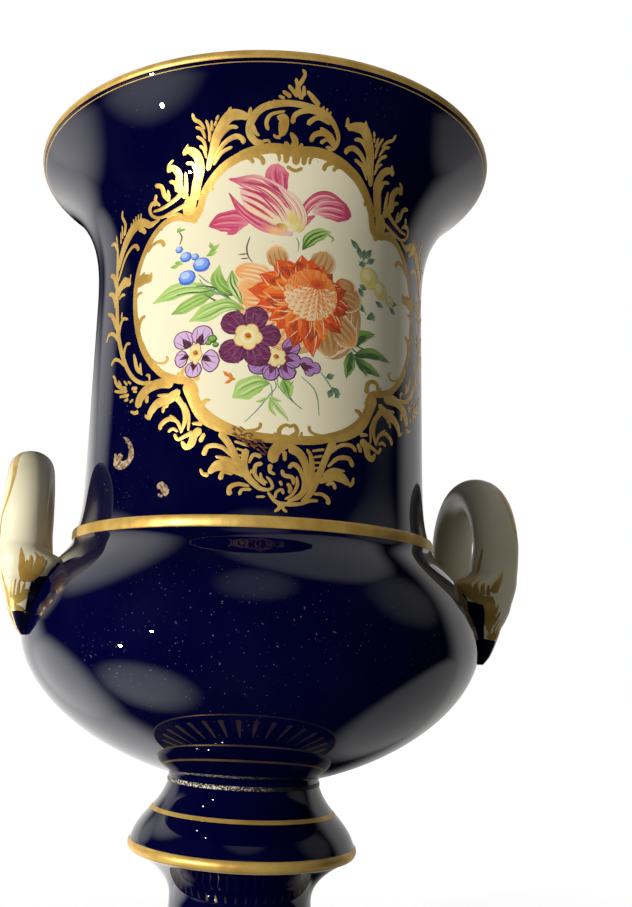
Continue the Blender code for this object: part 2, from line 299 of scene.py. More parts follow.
class Shading:
    """A material's node tree with short calls for the nodes used here."""

    def __init__(self, name):
        self.material = bpy.data.materials.new(name)
        self.material.use_nodes = True
        self.tree = self.material.node_tree
        self.shader = self.tree.nodes["Principled BSDF"]
        self.column = 0

    def add(self, kind, **values):
        node = self.tree.nodes.new(kind)
        self.column -= 1
        node.location = (190.0 * self.column, -120.0 * (self.column % 4))
        for name, value in values.items():
            setattr(node, name, value)
        return node

    def link(self, source, target):
        self.tree.links.new(source, target)

    def place(self):
        return self.add("ShaderNodeTexCoord").outputs["Object"]

    def noise(self, scale, detail=3.0, stretch=None, place=None):
        """Value of a noise on the piece's own coordinates, stretched if asked."""
        where = place or self.place()
        if stretch is not None:
            mapping = self.add("ShaderNodeMapping")
            mapping.inputs["Scale"].default_value = stretch
            self.link(where, mapping.inputs["Vector"])
            where = mapping.outputs["Vector"]
        node = self.add("ShaderNodeTexNoise")
        node.inputs["Scale"].default_value = scale
        node.inputs["Detail"].default_value = detail
        self.link(where, node.inputs["Vector"])
        return node.outputs["Fac"]

    def spread(self, value, low, high, to_low=0.0, to_high=1.0):
        """Map a value from one range to another, clamped."""
        node = self.add("ShaderNodeMapRange")
        node.inputs["From Min"].default_value = low
        node.inputs["From Max"].default_value = high
        node.inputs["To Min"].default_value = to_low
        node.inputs["To Max"].default_value = to_high
        self.link(value, node.inputs["Value"])
        return node.outputs["Result"]

    def mix(self, factor, first, second):
        """Colour between first and second, each a colour or a socket."""
        node = self.add("ShaderNodeMix", data_type="RGBA")
        self.link(factor, node.inputs["Factor"])
        for index, value in ((6, first), (7, second)):
            if isinstance(value, bpy.types.NodeSocket):
                self.link(value, node.inputs[index])
            else:
                node.inputs[index].default_value = (*value, 1.0)
        return node.outputs[2]

    def multiply(self, first, second):
        node = self.add("ShaderNodeMath", operation="MULTIPLY")
        self.link(first, node.inputs[0])
        if isinstance(second, bpy.types.NodeSocket):
            self.link(second, node.inputs[1])
        else:
            node.inputs[1].default_value = second
        return node.outputs["Value"]

    def bump(self, height, strength, distance):
        node = self.add("ShaderNodeBump")
        node.inputs["Strength"].default_value = strength
        node.inputs["Distance"].default_value = distance
        self.link(height, node.inputs["Height"])
        self.link(node.outputs["Normal"], self.shader.inputs["Normal"])

    def attribute(self, name):
        return self.add("ShaderNodeAttribute", attribute_name=name)


def cobalt_ground(s):
    """Deep blue under a thick clear glaze, with specks of dust and fine wipe marks."""
    clouds = s.spread(s.noise(28.0, 4.0), 0.35, 0.70)
    deep = tuple(look().cobalt)
    light = tuple(min(1.0, c * 1.3) for c in deep)
    colour = s.mix(clouds, deep, light)
    specks = s.spread(s.noise(1250.0, 1.5), 0.715, 0.76)
    patches = s.spread(s.noise(16.0, 3.0), 0.47, 0.66)
    film = s.multiply(s.spread(s.noise(55.0, 5.0), 0.45, 0.75), 0.005)
    dust = s.add("ShaderNodeMath", operation="MAXIMUM")
    s.link(s.multiply(s.multiply(specks, patches), 0.50), dust.inputs[0])
    s.link(film, dust.inputs[1])
    colour = s.mix(dust.outputs["Value"], colour, tuple(look().dust))
    s.link(colour, s.shader.inputs["Base Color"])
    wipes = s.noise(90.0, 6.0, stretch=(1.0, 1.0, 9.0))
    s.link(s.spread(wipes, 0.35, 0.80, 0.006, 0.018), s.shader.inputs["Roughness"])
    s.shader.inputs["IOR"].default_value = 1.52
    s.bump(s.noise(34.0, 2.0), 0.06, 0.0004)
    return s.material


def porcelain(s):
    """Warm white porcelain, faintly clouded, with a small iron speck here and there."""
    clouds = s.spread(s.noise(45.0, 5.0), 0.35, 0.70)
    white = tuple(look().porcelain)
    shade = tuple(c * k for c, k in zip(white, (0.96, 0.95, 0.92)))
    colour = s.mix(clouds, white, shade)
    specks = s.spread(s.noise(700.0, 1.0), 0.80, 0.84)
    colour = s.mix(specks, colour, (0.20, 0.15, 0.09))
    s.link(colour, s.shader.inputs["Base Color"])
    s.link(s.spread(s.noise(90.0, 4.0), 0.3, 0.7, 0.06, 0.12), s.shader.inputs["Roughness"])
    s.bump(s.noise(50.0, 3.0), 0.06, 0.0003)
    return s.material


def gold(s, bright, worn, low_rough, high_rough):
    """Fired gold: a warm flat film with brush grain, thinner and browner in places."""
    cloud = s.spread(s.noise(120.0, 6.0), 0.36, 0.70)
    colour = s.mix(cloud, bright, worn)
    grain = s.spread(s.noise(2600.0, 2.0), 0.56, 0.80, 0.0, 0.30)
    colour = s.mix(grain, colour, tuple(c * 0.5 for c in worn))
    s.link(colour, s.shader.inputs["Base Color"])
    s.shader.inputs["Metallic"].default_value = GOLD_METAL
    rough = s.spread(s.noise(420.0, 4.0), 0.3, 0.7, low_rough, high_rough)
    s.link(rough, s.shader.inputs["Roughness"])
    s.bump(s.noise(1500.0, 4.0), 0.30, 0.00008)
    return s.material


def painted_enamel(s):
    """Overglaze colours: each stroke's own colour, thinned along its length by the brush."""
    paint = s.attribute("paint").outputs["Color"]
    uv = s.add("ShaderNodeUVMap", uv_map="brush").outputs["UV"]
    hairs = s.noise(1.0, 3.0, stretch=(9.0, 1.3, 1.0), place=uv)
    streaks = s.spread(hairs, 0.48, 0.70, 0.0, 0.20)
    white = (0.80, 0.76, 0.66)
    colour = s.mix(streaks, paint, white)
    dark = s.spread(s.noise(1.0, 2.0, stretch=(13.0, 1.0, 1.0), place=uv), 0.52, 0.74, 0.0, 0.28)
    shade = s.add("ShaderNodeMix", data_type="RGBA", blend_type="MULTIPLY")
    s.link(dark, shade.inputs["Factor"])
    s.link(colour, shade.inputs[6])
    shade.inputs[7].default_value = (0.35, 0.28, 0.28, 1.0)
    s.link(shade.outputs[2], s.shader.inputs["Base Color"])
    s.link(s.spread(s.noise(300.0, 2.0), 0.3, 0.7, 0.10, 0.22), s.shader.inputs["Roughness"])
    return s.material


def rubbed_gold(s):
    """Reddish brown where the gold is rubbed through."""
    cloud = s.spread(s.noise(1400.0, 4.0), 0.38, 0.62)
    s.link(s.mix(cloud, (0.09, 0.03, 0.01), (0.34, 0.13, 0.03)), s.shader.inputs["Base Color"])
    s.shader.inputs["Metallic"].default_value = 0.3
    s.link(s.spread(s.noise(900.0, 2.0), 0.3, 0.7, 0.35, 0.6), s.shader.inputs["Roughness"])
    return s.material


def handle_glaze(s):
    """White glaze with gold leaves at the roots; the attribute gilt is above 0 on the gold."""
    clouds = s.spread(s.noise(55.0, 5.0), 0.35, 0.70)
    white = tuple(look().porcelain)
    shade = tuple(c * k for c, k in zip(white, (0.90, 0.89, 0.84)))
    plain = s.mix(clouds, white, shade)
    rubbed = s.spread(s.noise(240.0, 5.0), 0.36, 0.66)
    gilding = s.mix(rubbed, tuple(look().gold), tuple(look().ochre))
    combed = s.spread(s.noise(260.0, 3.0, stretch=(5.0, 5.0, 0.8)), 0.50, 0.62, 0.0, 0.75)
    gilding = s.mix(combed, gilding, (0.16, 0.075, 0.015))
    gilt = s.spread(s.attribute("gilt").outputs["Fac"], -0.05, 0.05)
    cobalt = s.spread(s.attribute("cobalt").outputs["Fac"], -0.05, 0.05)
    colour = s.mix(gilt, plain, gilding)
    colour = s.mix(cobalt, colour, tuple(look().cobalt))
    s.link(colour, s.shader.inputs["Base Color"])
    bare = s.spread(s.attribute("cobalt").outputs["Fac"], -0.05, 0.05, 1.0, 0.0)
    metal = s.multiply(gilt, bare)
    s.link(s.multiply(metal, GOLD_METAL), s.shader.inputs["Metallic"])
    s.link(s.spread(metal, 0.0, 1.0, 0.34, 0.38), s.shader.inputs["Roughness"])
    s.shader.inputs["Specular IOR Level"].default_value = 0.34
    s.bump(s.noise(70.0, 3.0), 0.10, 0.0003)
    return s.material


def dusty_joint_and_painted_light(s):
    """Dark joint under the bowl with pale glittering grit of dust, laid thickest at the left front
    as painted light, on the side that the key light falls on.
    """
    grit = s.spread(s.noise(1700.0, 3.0), 0.48, 0.62)
    side = s.add("ShaderNodeSeparateXYZ")
    s.link(s.place(), side.inputs[0])
    # Painted light: the pale grit grows towards the left (-X) and the front (-Y), where the key
    # light falls, and fades to the dark joint on the right.
    left = s.spread(side.outputs["X"], 0.006, -0.010, 0.04, 1.0)
    front = s.spread(side.outputs["Y"], 0.020, -0.015, 0.25, 1.0)
    grit_and_painted_light = s.multiply(s.multiply(grit, left), front)
    colour = s.mix(grit_and_painted_light, (0.012, 0.012, 0.014), (0.72, 0.66, 0.50))
    s.link(colour, s.shader.inputs["Base Color"])
    s.link(s.spread(grit_and_painted_light, 0.0, 1.0, 0.30, 0.65), s.shader.inputs["Roughness"])
    s.shader.inputs["Specular IOR Level"].default_value = 0.08
    s.bump(s.noise(1500.0, 3.0), 0.3, 0.0002)
    return s.material


def scab(s):
    """Crusts of burnt gold and dirt on the glaze."""
    cloud = s.spread(s.noise(900.0, 5.0), 0.38, 0.62)
    colour = s.mix(cloud, (0.10, 0.055, 0.025), (0.52, 0.36, 0.20))
    s.link(colour, s.shader.inputs["Base Color"])
    s.link(s.spread(s.noise(700.0, 2.0), 0.3, 0.7, 0.45, 0.75), s.shader.inputs["Roughness"])
    s.bump(s.noise(1300.0, 4.0), 0.9, 0.0004)
    return s.material


# Meshes


def linked(name, shape):
    """A mesh object made from a bmesh and put in the scene."""
    mesh = bpy.data.meshes.new(name)
    shape.to_mesh(mesh)
    shape.free()
    piece = bpy.data.objects.new(name, mesh)
    bpy.context.scene.collection.objects.link(piece)
    return piece


def finished(name, shape, materials, smooth_angle=40.0):
    """A mesh object from a bmesh, shaded smooth, riding on the vase."""
    shape.normal_update()
    piece = linked(name, shape)
    piece.data.shade_smooth()
    if smooth_angle is not None:
        piece.data.set_sharp_from_angle(angle=math.radians(smooth_angle))
    for used in materials:
        piece.data.materials.append(used)
    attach(piece, BODY)
    return piece


def spun(outline, merge):
    """A bmesh spun full circle about Z from an outline of (r, z) points."""
    shape = bmesh.new()
    verts = [shape.verts.new((r, 0.0, z)) for r, z in outline]
    edges = [shape.edges.new(pair) for pair in zip(verts[:-1], verts[1:])]
    bmesh.ops.spin(shape, geom=verts + edges, cent=(0.0, 0.0, 0.0), axis=(0.0, 0.0, 1.0),
                   dvec=(0.0, 0.0, 0.0), angle=2.0 * math.pi, steps=TURNS, use_merge=True,
                   use_normal_flip=False, use_duplicate=False)
    bmesh.ops.remove_doubles(shape, verts=shape.verts, dist=merge)
    return shape


def turned(outline):
    """A closed turned form."""
    shape = spun(outline, 1e-6)
    bmesh.ops.recalc_face_normals(shape, faces=shape.faces)
    return shape


def outwardness(face):
    """Above 0 where a face looks away from the vase's axis."""
    centre = face.calc_center_median()
    return face.normal.dot(Vector((centre.x, centre.y, 0.0)))


def face_outwards(shape):
    inward = [face for face in shape.faces if outwardness(face) < 0.0]
    bmesh.ops.reverse_faces(shape, faces=inward)


def first_ring(shape, count, filled):
    """The vertices of a new circle in order of their angle."""
    made = bmesh.ops.create_circle(shape, cap_ends=filled, radius=1.0, segments=count)
    return sorted(made["verts"], key=lambda v: math.atan2(v.co.y, v.co.x) % (2.0 * math.pi))


def ring_edges(shape, ring):
    return [shape.edges.get(pair) for pair in zip(ring, ring[1:] + ring[:1])]


def next_ring(shape, ring):
    """The vertices of the ring that is extruded from the given one, in the same order."""
    grown = bmesh.ops.extrude_edge_only(shape, edges=ring_edges(shape, ring))
    new = {v for v in grown["geom"] if isinstance(v, bmesh.types.BMVert)}
    return [next(e.other_vert(old) for e in old.link_edges if e.other_vert(old) in new)
            for old in ring]


def cubic(a, b, c, d, t):
    """A share of the way from b to c on a smooth curve through the four."""
    return 0.5 * ((2.0 * b) + (c - a) * t + (2.0 * a - 5.0 * b + 4.0 * c - d) * t * t
                  + (3.0 * b - a - 3.0 * c + d) * t ** 3)


CURVE_STEPS = 12


def through(points, count):
    """Evenly spaced points on a smooth curve through the given 2-D points."""
    pts = [Vector(p) for p in points]
    if len(pts) == 2:
        return [pts[0].lerp(pts[1], i / (count - 1)) for i in range(count)]
    ends = [2.0 * pts[0] - pts[1]] + pts + [2.0 * pts[-1] - pts[-2]]
    dense = []
    for a, b, c, d in zip(ends, ends[1:], ends[2:], ends[3:]):
        dense += [cubic(a, b, c, d, i / CURVE_STEPS) for i in range(CURVE_STEPS)]
    dense.append(pts[-1])
    lengths = [0.0]
    for p, q in zip(dense, dense[1:]):
        lengths.append(lengths[-1] + (q - p).length)
    out = []
    index = 0
    for i in range(count):
        want = lengths[-1] * i / (count - 1)
        while index < len(dense) - 2 and lengths[index + 1] < want:
            index += 1
        span = max(lengths[index + 1] - lengths[index], 1e-9)
        out.append(dense[index].lerp(dense[index + 1], min((want - lengths[index]) / span, 1.0)))
    return out


def along(values, share):
    """Value at a share of the way through a short list, eased between its entries."""
    place = share * (len(values) - 1)
    index = min(int(place), len(values) - 2)
    part = place - index
    part = part * part * (3.0 - 2.0 * part)
    first, second = values[index], values[index + 1]
    if isinstance(first, tuple):
        return tuple(a + (b - a) * part for a, b in zip(first, second))
    return first + (second - first) * part


def on_wall(across, height, lift):
    """Point on the vessel at millimetres across the panel and millimetres of height."""
    angle = across * MM / NECK_RADIUS
    z = height * MM
    radius = outer_radius(z) + lift * MM
    return Vector((radius * math.sin(angle), -radius * math.cos(angle), z))


def on_axis(place):
    """Point on the vase's axis at the height of a place."""
    return Vector((0.0, 0.0, place.z))


class Canvas:
    """A mesh of brush strokes laid on the vessel's wall."""

    def __init__(self):
        self.shape = bmesh.new()
        self.uv = self.shape.loops.layers.uv.new("brush")
        self.paint = self.shape.verts.layers.float_color.new("paint")
        self.count = 0

    def stroke(self, points, widths, lift, dome=0.0, colours=None, sides=2, pitch=1.0,
               place=on_wall, rounded=True):
        """One stroke along a path: a grid bent to the path, wide as its list of widths says."""
        path_length = sum((Vector(q) - Vector(p)).length for p, q in zip(points, points[1:]))
        rows = max(5, min(60, int(path_length / pitch) + 2))
        spine = through(points, rows + 1)
        made = bmesh.ops.create_grid(self.shape, x_segments=rows, y_segments=sides, size=1.0)
        run = [0.0]
        for p, q in zip(spine, spine[1:]):
            run.append(run[-1] + (q - p).length)
        total = max(run[-1], 1e-6)
        self.count += 1
        marks = {}
        for vert in made["verts"]:
            share = (vert.co.x + 1.0) / 2.0
            side = vert.co.y
            index = round(share * rows)
            before = spine[max(index - 1, 0)]
            after = spine[min(index + 1, rows)]
            direction = (after - before).normalized()
            normal = Vector((-direction.y, direction.x))
            half = along(widths, share) / 2.0
            if rounded:
                reach = max(min(run[index], total - run[index]), 0.0)
                cap = min(reach / max(half, 1e-6), 1.0)
                half *= math.sqrt(max(1.0 - (1.0 - cap) ** 2, 0.0))
            spot = spine[index] + normal * (side * half)
            rise = lift + dome * (1.0 - side * side)
            vert.co = place(spot.x, spot.y, rise)
            marks[vert] = (side * max(half, 0.05) + self.count * 3.7, share * total * 0.35)
            if colours is not None:
                vert[self.paint] = (*along(colours, share), 1.0)
        for face in {f for vert in made["verts"] for f in vert.link_faces}:
            for loop in face.loops:
                loop[self.uv].uv = marks[loop.vert]

    def finish(self, name, material, slot, middle=on_axis):
        """Close the canvas into a piece whose faces look away from its middle."""
        bmesh.ops.remove_doubles(self.shape, verts=self.shape.verts, dist=2e-6)
        bmesh.ops.dissolve_degenerate(self.shape, edges=self.shape.edges, dist=1e-7)
        self.shape.normal_update()
        inward = []
        for face in self.shape.faces:
            centre = face.calc_center_median()
            if face.normal.dot(centre - middle(centre)) < 0.0:
                inward.append(face)
        bmesh.ops.reverse_faces(self.shape, faces=inward)
        return finished(name, self.shape, [material], smooth_angle=None)


# The white reserve's outline, right half from the top down, millimetres across and of height
RESERVE_EDGE = [
    (0.0, 283.4), (6.0, 284.0), (11.0, 283.4), (16.0, 281.8), (21.0, 279.2), (25.0, 275.6),
    (28.0, 271.4), (29.2, 267.6), (31.0, 264.6), (34.0, 263.6), (38.0, 264.8), (42.5, 264.2),
    (47.0, 261.4), (51.0, 256.8), (54.0, 250.6), (55.2, 243.6), (54.6, 235.8), (52.8, 228.4),
    (49.8, 221.8), (45.6, 216.0), (40.6, 211.6), (35.6, 209.6), (31.4, 208.6), (29.0, 205.8),
    (28.4, 202.2), (26.0, 198.6), (21.6, 195.0), (16.0, 192.2), (10.0, 190.4), (4.0, 189.8),
    (0.0, 189.8),
]
RESERVE_CENTRE = (0.0, 238.0)
RESERVE_POINTS = 200
RESERVE_RINGS = 30
RESERVE_LIFT = 0.05


def reserve_edge(count):
    """Points round the reserve, both halves, starting at the top."""
    right = through(RESERVE_EDGE, count // 2 + 1)
    left = [Vector((-p.x, p.y)) for p in reversed(right[1:-1])]
    return right + left


class VaseSizes(bpy.types.PropertyGroup):
    """Sizes of the decoration that a user would change."""

    gold_relief: bpy.props.FloatProperty(
        name="Gold relief", description="How far the gilding stands up", subtype="DISTANCE",
        unit="LENGTH", precision=6, default=0.00003, min=0.00001, max=0.0005)
    paint_step: bpy.props.FloatProperty(
        name="Paint step", description="Lift from one layer of enamel to the next",
        subtype="DISTANCE", unit="LENGTH", precision=6, default=0.000016, min=0.000005,
        max=0.00005)
    foot_rays: bpy.props.IntProperty(
        name="Foot rays", description="Number of gold rays round the foot", subtype="UNSIGNED",
        default=26, min=3, max=60)
    ray_width: bpy.props.FloatProperty(
        name="Ray width", description="Greatest width of a ray on the foot", subtype="DISTANCE",
        unit="LENGTH", precision=4, default=0.0045, min=0.001, max=0.01)


class VaseLook(bpy.types.PropertyGroup):
    """Colours that a user would change."""

    cobalt: bpy.props.FloatVectorProperty(
        name="Cobalt", description="Colour of the blue ground", subtype="COLOR",
        default=(0.0005, 0.0006, 0.021), min=0.0, max=1.0)
    porcelain: bpy.props.FloatVectorProperty(
        name="Porcelain", description="Colour of the white glaze", subtype="COLOR",
        default=(0.86, 0.80, 0.58), min=0.0, max=1.0)
    gold: bpy.props.FloatVectorProperty(
        name="Gold", description="Burnished gold", subtype="COLOR",
        default=(0.84, 0.56, 0.15), min=0.0, max=1.0)
    ochre: bpy.props.FloatVectorProperty(
        name="Worn gold", description="Gold where it is thin", subtype="COLOR",
        default=(0.62, 0.36, 0.07), min=0.0, max=1.0)
    dust: bpy.props.FloatVectorProperty(
        name="Dust", description="Specks of dust on the glaze", subtype="COLOR",
        default=(0.30, 0.29, 0.30), min=0.0, max=1.0)

class VaseStage(bpy.types.PropertyGroup):
    """Sizes and strengths of the stage that a user would change."""

    key_power: bpy.props.FloatProperty(
        name="Key light", description="Power of the key light at the left", subtype="POWER",
        default=15.0, min=0.0, max=200.0)
    fill: bpy.props.FloatProperty(
        name="Fill", description="Strength of the even light from all round", subtype="FACTOR",
        default=0.17, min=0.0, max=2.0)
    floor_radius: bpy.props.FloatProperty(
        name="Floor radius", description="Radius of the round floor", subtype="DISTANCE",
        unit="LENGTH", default=4.0, min=0.5, max=20.0)


def sizes():
    return bpy.context.scene.vase_sizes


def look():
    return bpy.context.scene.vase_look


def stage():
    return bpy.context.scene.vase_stage


def material(maker):
    """The material of the maker's name, made the first time that it is asked for."""
    name = maker.__name__
    return bpy.data.materials.get(name) or maker(Shading(name))


def bright_gold(s):
    return gold(s, tuple(look().gold), tuple(look().ochre), 0.34, 0.50)


def matt_gold(s):
    return gold(s, tuple(c * k for c, k in zip(look().gold, (0.82, 0.78, 0.62))),
                tuple(c * 0.9 for c in look().ochre), 0.38, 0.54)


class VASE_OT_vessel(bpy.types.Operator):
    """Turn the vessel: cobalt outside, white inside"""

    bl_idname = "vase.vessel"
    bl_label = "Vessel"

    def execute(self, context):
        shape = turned(vessel_outside() + lip() + vessel_inside())
        top = lip_end()[1]
        for face in shape.faces:
            centre = face.calc_center_median()
            radius = math.hypot(centre.x, centre.y)
            inside = outwardness(face) < -1e-9
            flat_floor = face.normal.z > 0.5 and centre.z < BEAD_Z and radius < BELLY_RADIUS * 0.9
            deep_floor = flat_floor and radius < outer_radius(centre.z) - 0.5 * WALL
            if (inside and centre.z > JOINT_Z + 0.001) or deep_floor or centre.z > top + 0.003:
                face.material_index = 1
        glazes = [material(cobalt_ground), material(porcelain)]
        piece = finished("vessel", shape, glazes, 60.0)
        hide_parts("vase_body")
        return {"FINISHED"}


class VASE_OT_pedestal(bpy.types.Operator):
    """Turn the pedestal: knop, stem and spreading foot, hollow underneath"""

    bl_idname = "vase.pedestal"
    bl_label = "Pedestal"

    def execute(self, context):
        shape = turned(pedestal_outside() + pedestal_underside())
        for face in shape.faces:
            z = face.calc_center_median().z
            sole = face.normal.z < -0.3 and z < FOOT_EDGE * 0.2
            hollow = outwardness(face) < 0.0 and z < KNOP_Z
            roof = face.normal.z < -0.9 and z > STEM_Z
            if sole or hollow or roof:
                face.material_index = 1
        glazes = [material(cobalt_ground), material(porcelain)]
        piece = finished("pedestal", shape, glazes, 50.0)
        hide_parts("pedestal_foot")
        return {"FINISHED"}


def band(name, outline, material_used):
    """A thin ring laid on the turned form along an outline of (r, z) points."""
    shape = spun(outline, 1e-7)
    face_outwards(shape)
    return finished(name, shape, [material_used], 60.0)


def lifted(points, lift):
    """An outline moved outwards by a lift, square to itself, sinking at both ends."""
    out = []
    for i, (r, z) in enumerate(points):
        before = points[max(i - 1, 0)]
        after = points[min(i + 1, len(points) - 1)]
        run = Vector((after[0] - before[0], after[1] - before[1])).normalized()
        normal = Vector((run.y, -run.x))
        if normal.x < 0.0:
            normal = -normal
        edge = min(i, len(points) - 1 - i)
        share = -0.4 if edge == 0 else 1.0
        out.append((r + normal.x * lift * share, z + normal.y * lift * share))
    return out


# Joint band of dust and painted light, outwards from the collar and up from the joint, and the
# span of the knop's gold line as shares of its slope
DUST_PROFILE = [(-0.0004, -0.0008), (0.0003, -0.0004), (0.0003, 0.0002), (0.0002, 0.0007),
                (-0.0003, 0.0011)]
KNOP_LINE = (0.415, 0.485)


class VASE_OT_rings(bpy.types.Operator):
    """Gild the rim, the bead, the knop and the foot's edge"""

    bl_idname = "vase.rings"
    bl_label = "Gilt rings"

    def execute(self, context):
        relief = sizes().gold_relief
        gilt = material(bright_gold)
        low = lip_end()[1] - 0.0007
        rim = [(outer_radius(z), z) for z in steps(low, lip_end()[1], 3)][:-1]
        band("rim_gilding", lifted(rim + lip()[:-3], 0.6 * relief), gilt)
        bead = []
        for angle in steps(-86.0, 86.0, 11):
            z = BEAD_Z + 0.5 * BEAD_HEIGHT * math.sin(math.radians(angle))
            bead.append((outer_radius(BEAD_Z) + BEAD_RELIEF * math.cos(math.radians(angle)), z))
        band("bead_gilding", lifted(bead, 0.7 * relief), gilt)
        ring = KNOP_RING_HEIGHT / 2.0
        knop = arc(KNOP_RADIUS - ring, KNOP_Z, ring, 52.0, -66.0, 13)
        band("knop_gilding", lifted(knop, 0.6 * relief), gilt)
        line = [knop_slope(share) for share in steps(*KNOP_LINE, 5)]
        band("knop_line", lifted(line, 0.5 * relief), gilt)
        half = FOOT_EDGE / 2.0
        edge = arc(FOOT_RADIUS - half, half, half, 70.0, -35.0, 13)
        band("foot_edge_gilding", lifted(edge, 0.6 * relief), gilt)
        # The joint band: pale dust grit with painted light, paler and thicker at the left front.
        dust = [(COLLAR_RADIUS + r, JOINT_Z + z) for r, z in DUST_PROFILE]
        band("joint_dust_and_painted_light", dust, material(dusty_joint_and_painted_light))
        return {"FINISHED"}


RAY_INNER = 0.0330
RAY_OUTER = 0.0580


def on_foot(across, radius_mm, lift):
    """Point on the foot's upper face: millimetres across the ray, and out from the axis."""
    low, high = FOOT_EDGE, STEM_Z
    want = math.hypot(across, radius_mm) * MM
    for _ in range(40):
        middle = 0.5 * (low + high)
        if foot_radius(middle) > want:
            low = middle
        else:
            high = middle
    z = 0.5 * (low + high)
    return Vector((across * MM, -radius_mm * MM, z + lift * MM))


class VASE_OT_rays(bpy.types.Operator):
    """Lay tapering gold rays round the foot"""

    bl_idname = "vase.rays"
    bl_label = "Foot rays"

    def execute(self, context):
        canvas = Canvas()
        inner = RAY_INNER / MM
        outer = RAY_OUTER / MM
        count = sizes().foot_rays
        width = sizes().ray_width / MM
        for i in range(count):
            turn = Matrix.Rotation(2.0 * math.pi * i / count, 3, "Z")
            canvas.stroke([(0.0, inner), (0.0, outer)], [0.5, 0.6 * width, width],
                          0.05, sizes().gold_relief / MM,
                          place=lambda x, y, lift, turn=turn: turn @ on_foot(x, y, lift))
        shape = canvas.shape
        down = [f for f in shape.faces if f.normal.z < 0.0]
        bmesh.ops.reverse_faces(shape, faces=down)
        finished("foot_rays", shape, [material(bright_gold)], smooth_angle=None)
        return {"FINISHED"}


# Each row holds a share of the root's height, the middle's stand-off and the depth away from
# the bowl as shares of their full sizes, and the half width as a share of the leg's
ROOT_ROWS = [
    (0.00, 0.11, 0.09, 0.25), (0.07, 0.24, 0.22, 0.55), (0.17, 0.36, 0.33, 0.78),
    (0.26, 0.45, 0.42, 0.88), (0.34, 0.51, 0.52, 0.90), (0.40, 0.56, 0.62, 1.14),
    (0.49, 0.66, 0.74, 1.24), (0.58, 0.73, 0.84, 1.14), (0.64, 0.77, 0.89, 1.26),
    (0.74, 0.83, 0.95, 1.36), (0.84, 0.88, 0.97, 1.24), (0.93, 0.93, 1.00, 1.06),
]
HANDLE_SIDES = 40


def side_x(z):
    """How far out the vessel's side stands at height z, where a leg comes down to it."""
    return math.sqrt(outer_radius(z) ** 2 - LEG_SPREAD ** 2)


def root_stations(lean, lift):
    """Sections of one leg: share of the root, height, middle's X, inner, outer, half width."""
    tip_z = BELLY_Z - ROOT_DROP + lift
    leaf_height = ROOT_HEIGHT - lift
    base_x = side_x(BELLY_Z)
    depth = HANDLE_DEPTH / 2.0
    stations = []
    for share, stand, outer, half in ROOT_ROWS:
        z = tip_z + leaf_height * share
        leaning = max(share - ROOT_LEAN_START, 0.0) / (1.0 - ROOT_LEAN_START)
        middle = base_x + RIGHT_STANDOFF * stand - lean * leaning
        reach = middle - side_x(z) + ROOT_SINK
        free = depth * (1.0 + ROOT_THICKENING * (1.0 - share))
        inner = reach if share < ROOT_ATTACHED else free
        stations.append((share, z, middle, inner, depth * outer, half * HANDLE_WIDTH / 2.0))
    return stations


def handle_sections(lean, lift):
    """Sections over the whole loop, each with its share of the root, from 0 at a leaf's tip."""
    half = HANDLE_WIDTH / 2.0
    depth = HANDLE_DEPTH / 2.0
    middle = side_x(BELLY_Z) + RIGHT_STANDOFF - lean
    spring_z = BELLY_Z - ROOT_DROP + ROOT_HEIGHT + LEG_LENGTH
    leg = root_stations(lean, lift)
    near = [(s, -LEG_SPREAD, z, 0.0, x, a, b, w) for s, z, x, a, b, w in leg]
    crown = []
    for turn in steps(0.0, 180.0, 15):
        y = -LEG_SPREAD * math.cos(math.radians(turn))
        z = spring_z + LEG_SPREAD * math.sin(math.radians(turn))
        top = 1.0 + math.sin(math.radians(turn))
        crown.append((top, y, z, turn, middle, depth, depth, half))
    far = [(s, LEG_SPREAD, z, 180.0, x, a, b, w) for s, z, x, a, b, w in reversed(leg)]
    return near + crown + far


def smooth_sections(sections, between):
    """More sections, on a smooth curve through the given ones."""
    out = []
    count = len(sections)
    for i in range(count - 1):
        a, b = sections[max(i - 1, 0)], sections[i]
        c, d = sections[i + 1], sections[min(i + 2, count - 1)]
        for k in range(between):
            out.append(tuple(cubic(*values, k / between) for values in zip(a, b, c, d)))
    out.append(sections[-1])
    return out


def channel(gap, outer):
    """Depth of the handle's channel at an angle away from its middle."""
    return min(CHANNEL_DEPTH, CHANNEL_SHARE * outer) * math.exp(-(gap / CHANNEL_TURN) ** 2)


def handle_piece(name, side, standoff, lift):
    """One loop handle: a ring of edges extruded from section to section."""
    shape = bmesh.new()
    gilt = shape.verts.layers.float.new("gilt")
    cobalt = shape.verts.layers.float.new("cobalt")
    lean = RIGHT_STANDOFF - standoff
    ring = first_ring(shape, HANDLE_SIDES, True)
    for number, section in enumerate(smooth_sections(handle_sections(lean, lift), 4)):
        share, y, z, turn, middle, inner, outer, half = section
        across_y = -math.cos(math.radians(turn))
        across_z = math.sin(math.radians(turn))
        if number:
            ring = next_ring(shape, ring)
        for i, vert in enumerate(ring):
            angle = 2.0 * math.pi * i / HANDLE_SIDES
            out = math.cos(angle)
            depth = out * (outer if out > 0.0 else inner)
            depth -= channel(min(angle, 2.0 * math.pi - angle), outer)
            off = half * math.sin(angle)
            vert.co = (side * (middle + depth), y + off * across_y, z + off * across_z)
            vert[gilt] = leaf_gold(share, angle)
            vert[cobalt] = leaf_cobalt(share, angle)
    bmesh.ops.contextual_create(shape, geom=ring_edges(shape, ring))
    bmesh.ops.recalc_face_normals(shape, faces=shape.faces)
    return finished(name, shape, [material(handle_glaze)], 70.0)


TIP_GOLD_TURN = 1.0
COBALT_LIMITS = ((0.22, 1.15), (0.56, 2.10), (0.72, 2.60))


def leaf_gold(share, angle):
    """Above 0 on the gilt tip of the leaf at a handle's root, away from the bowl."""
    turn = min(angle, 2.0 * math.pi - angle)
    comb = 0.03 * math.sin(15.0 * angle)
    return min(0.26 + comb - share, 0.10 * (TIP_GOLD_TURN - turn)) * 6.0


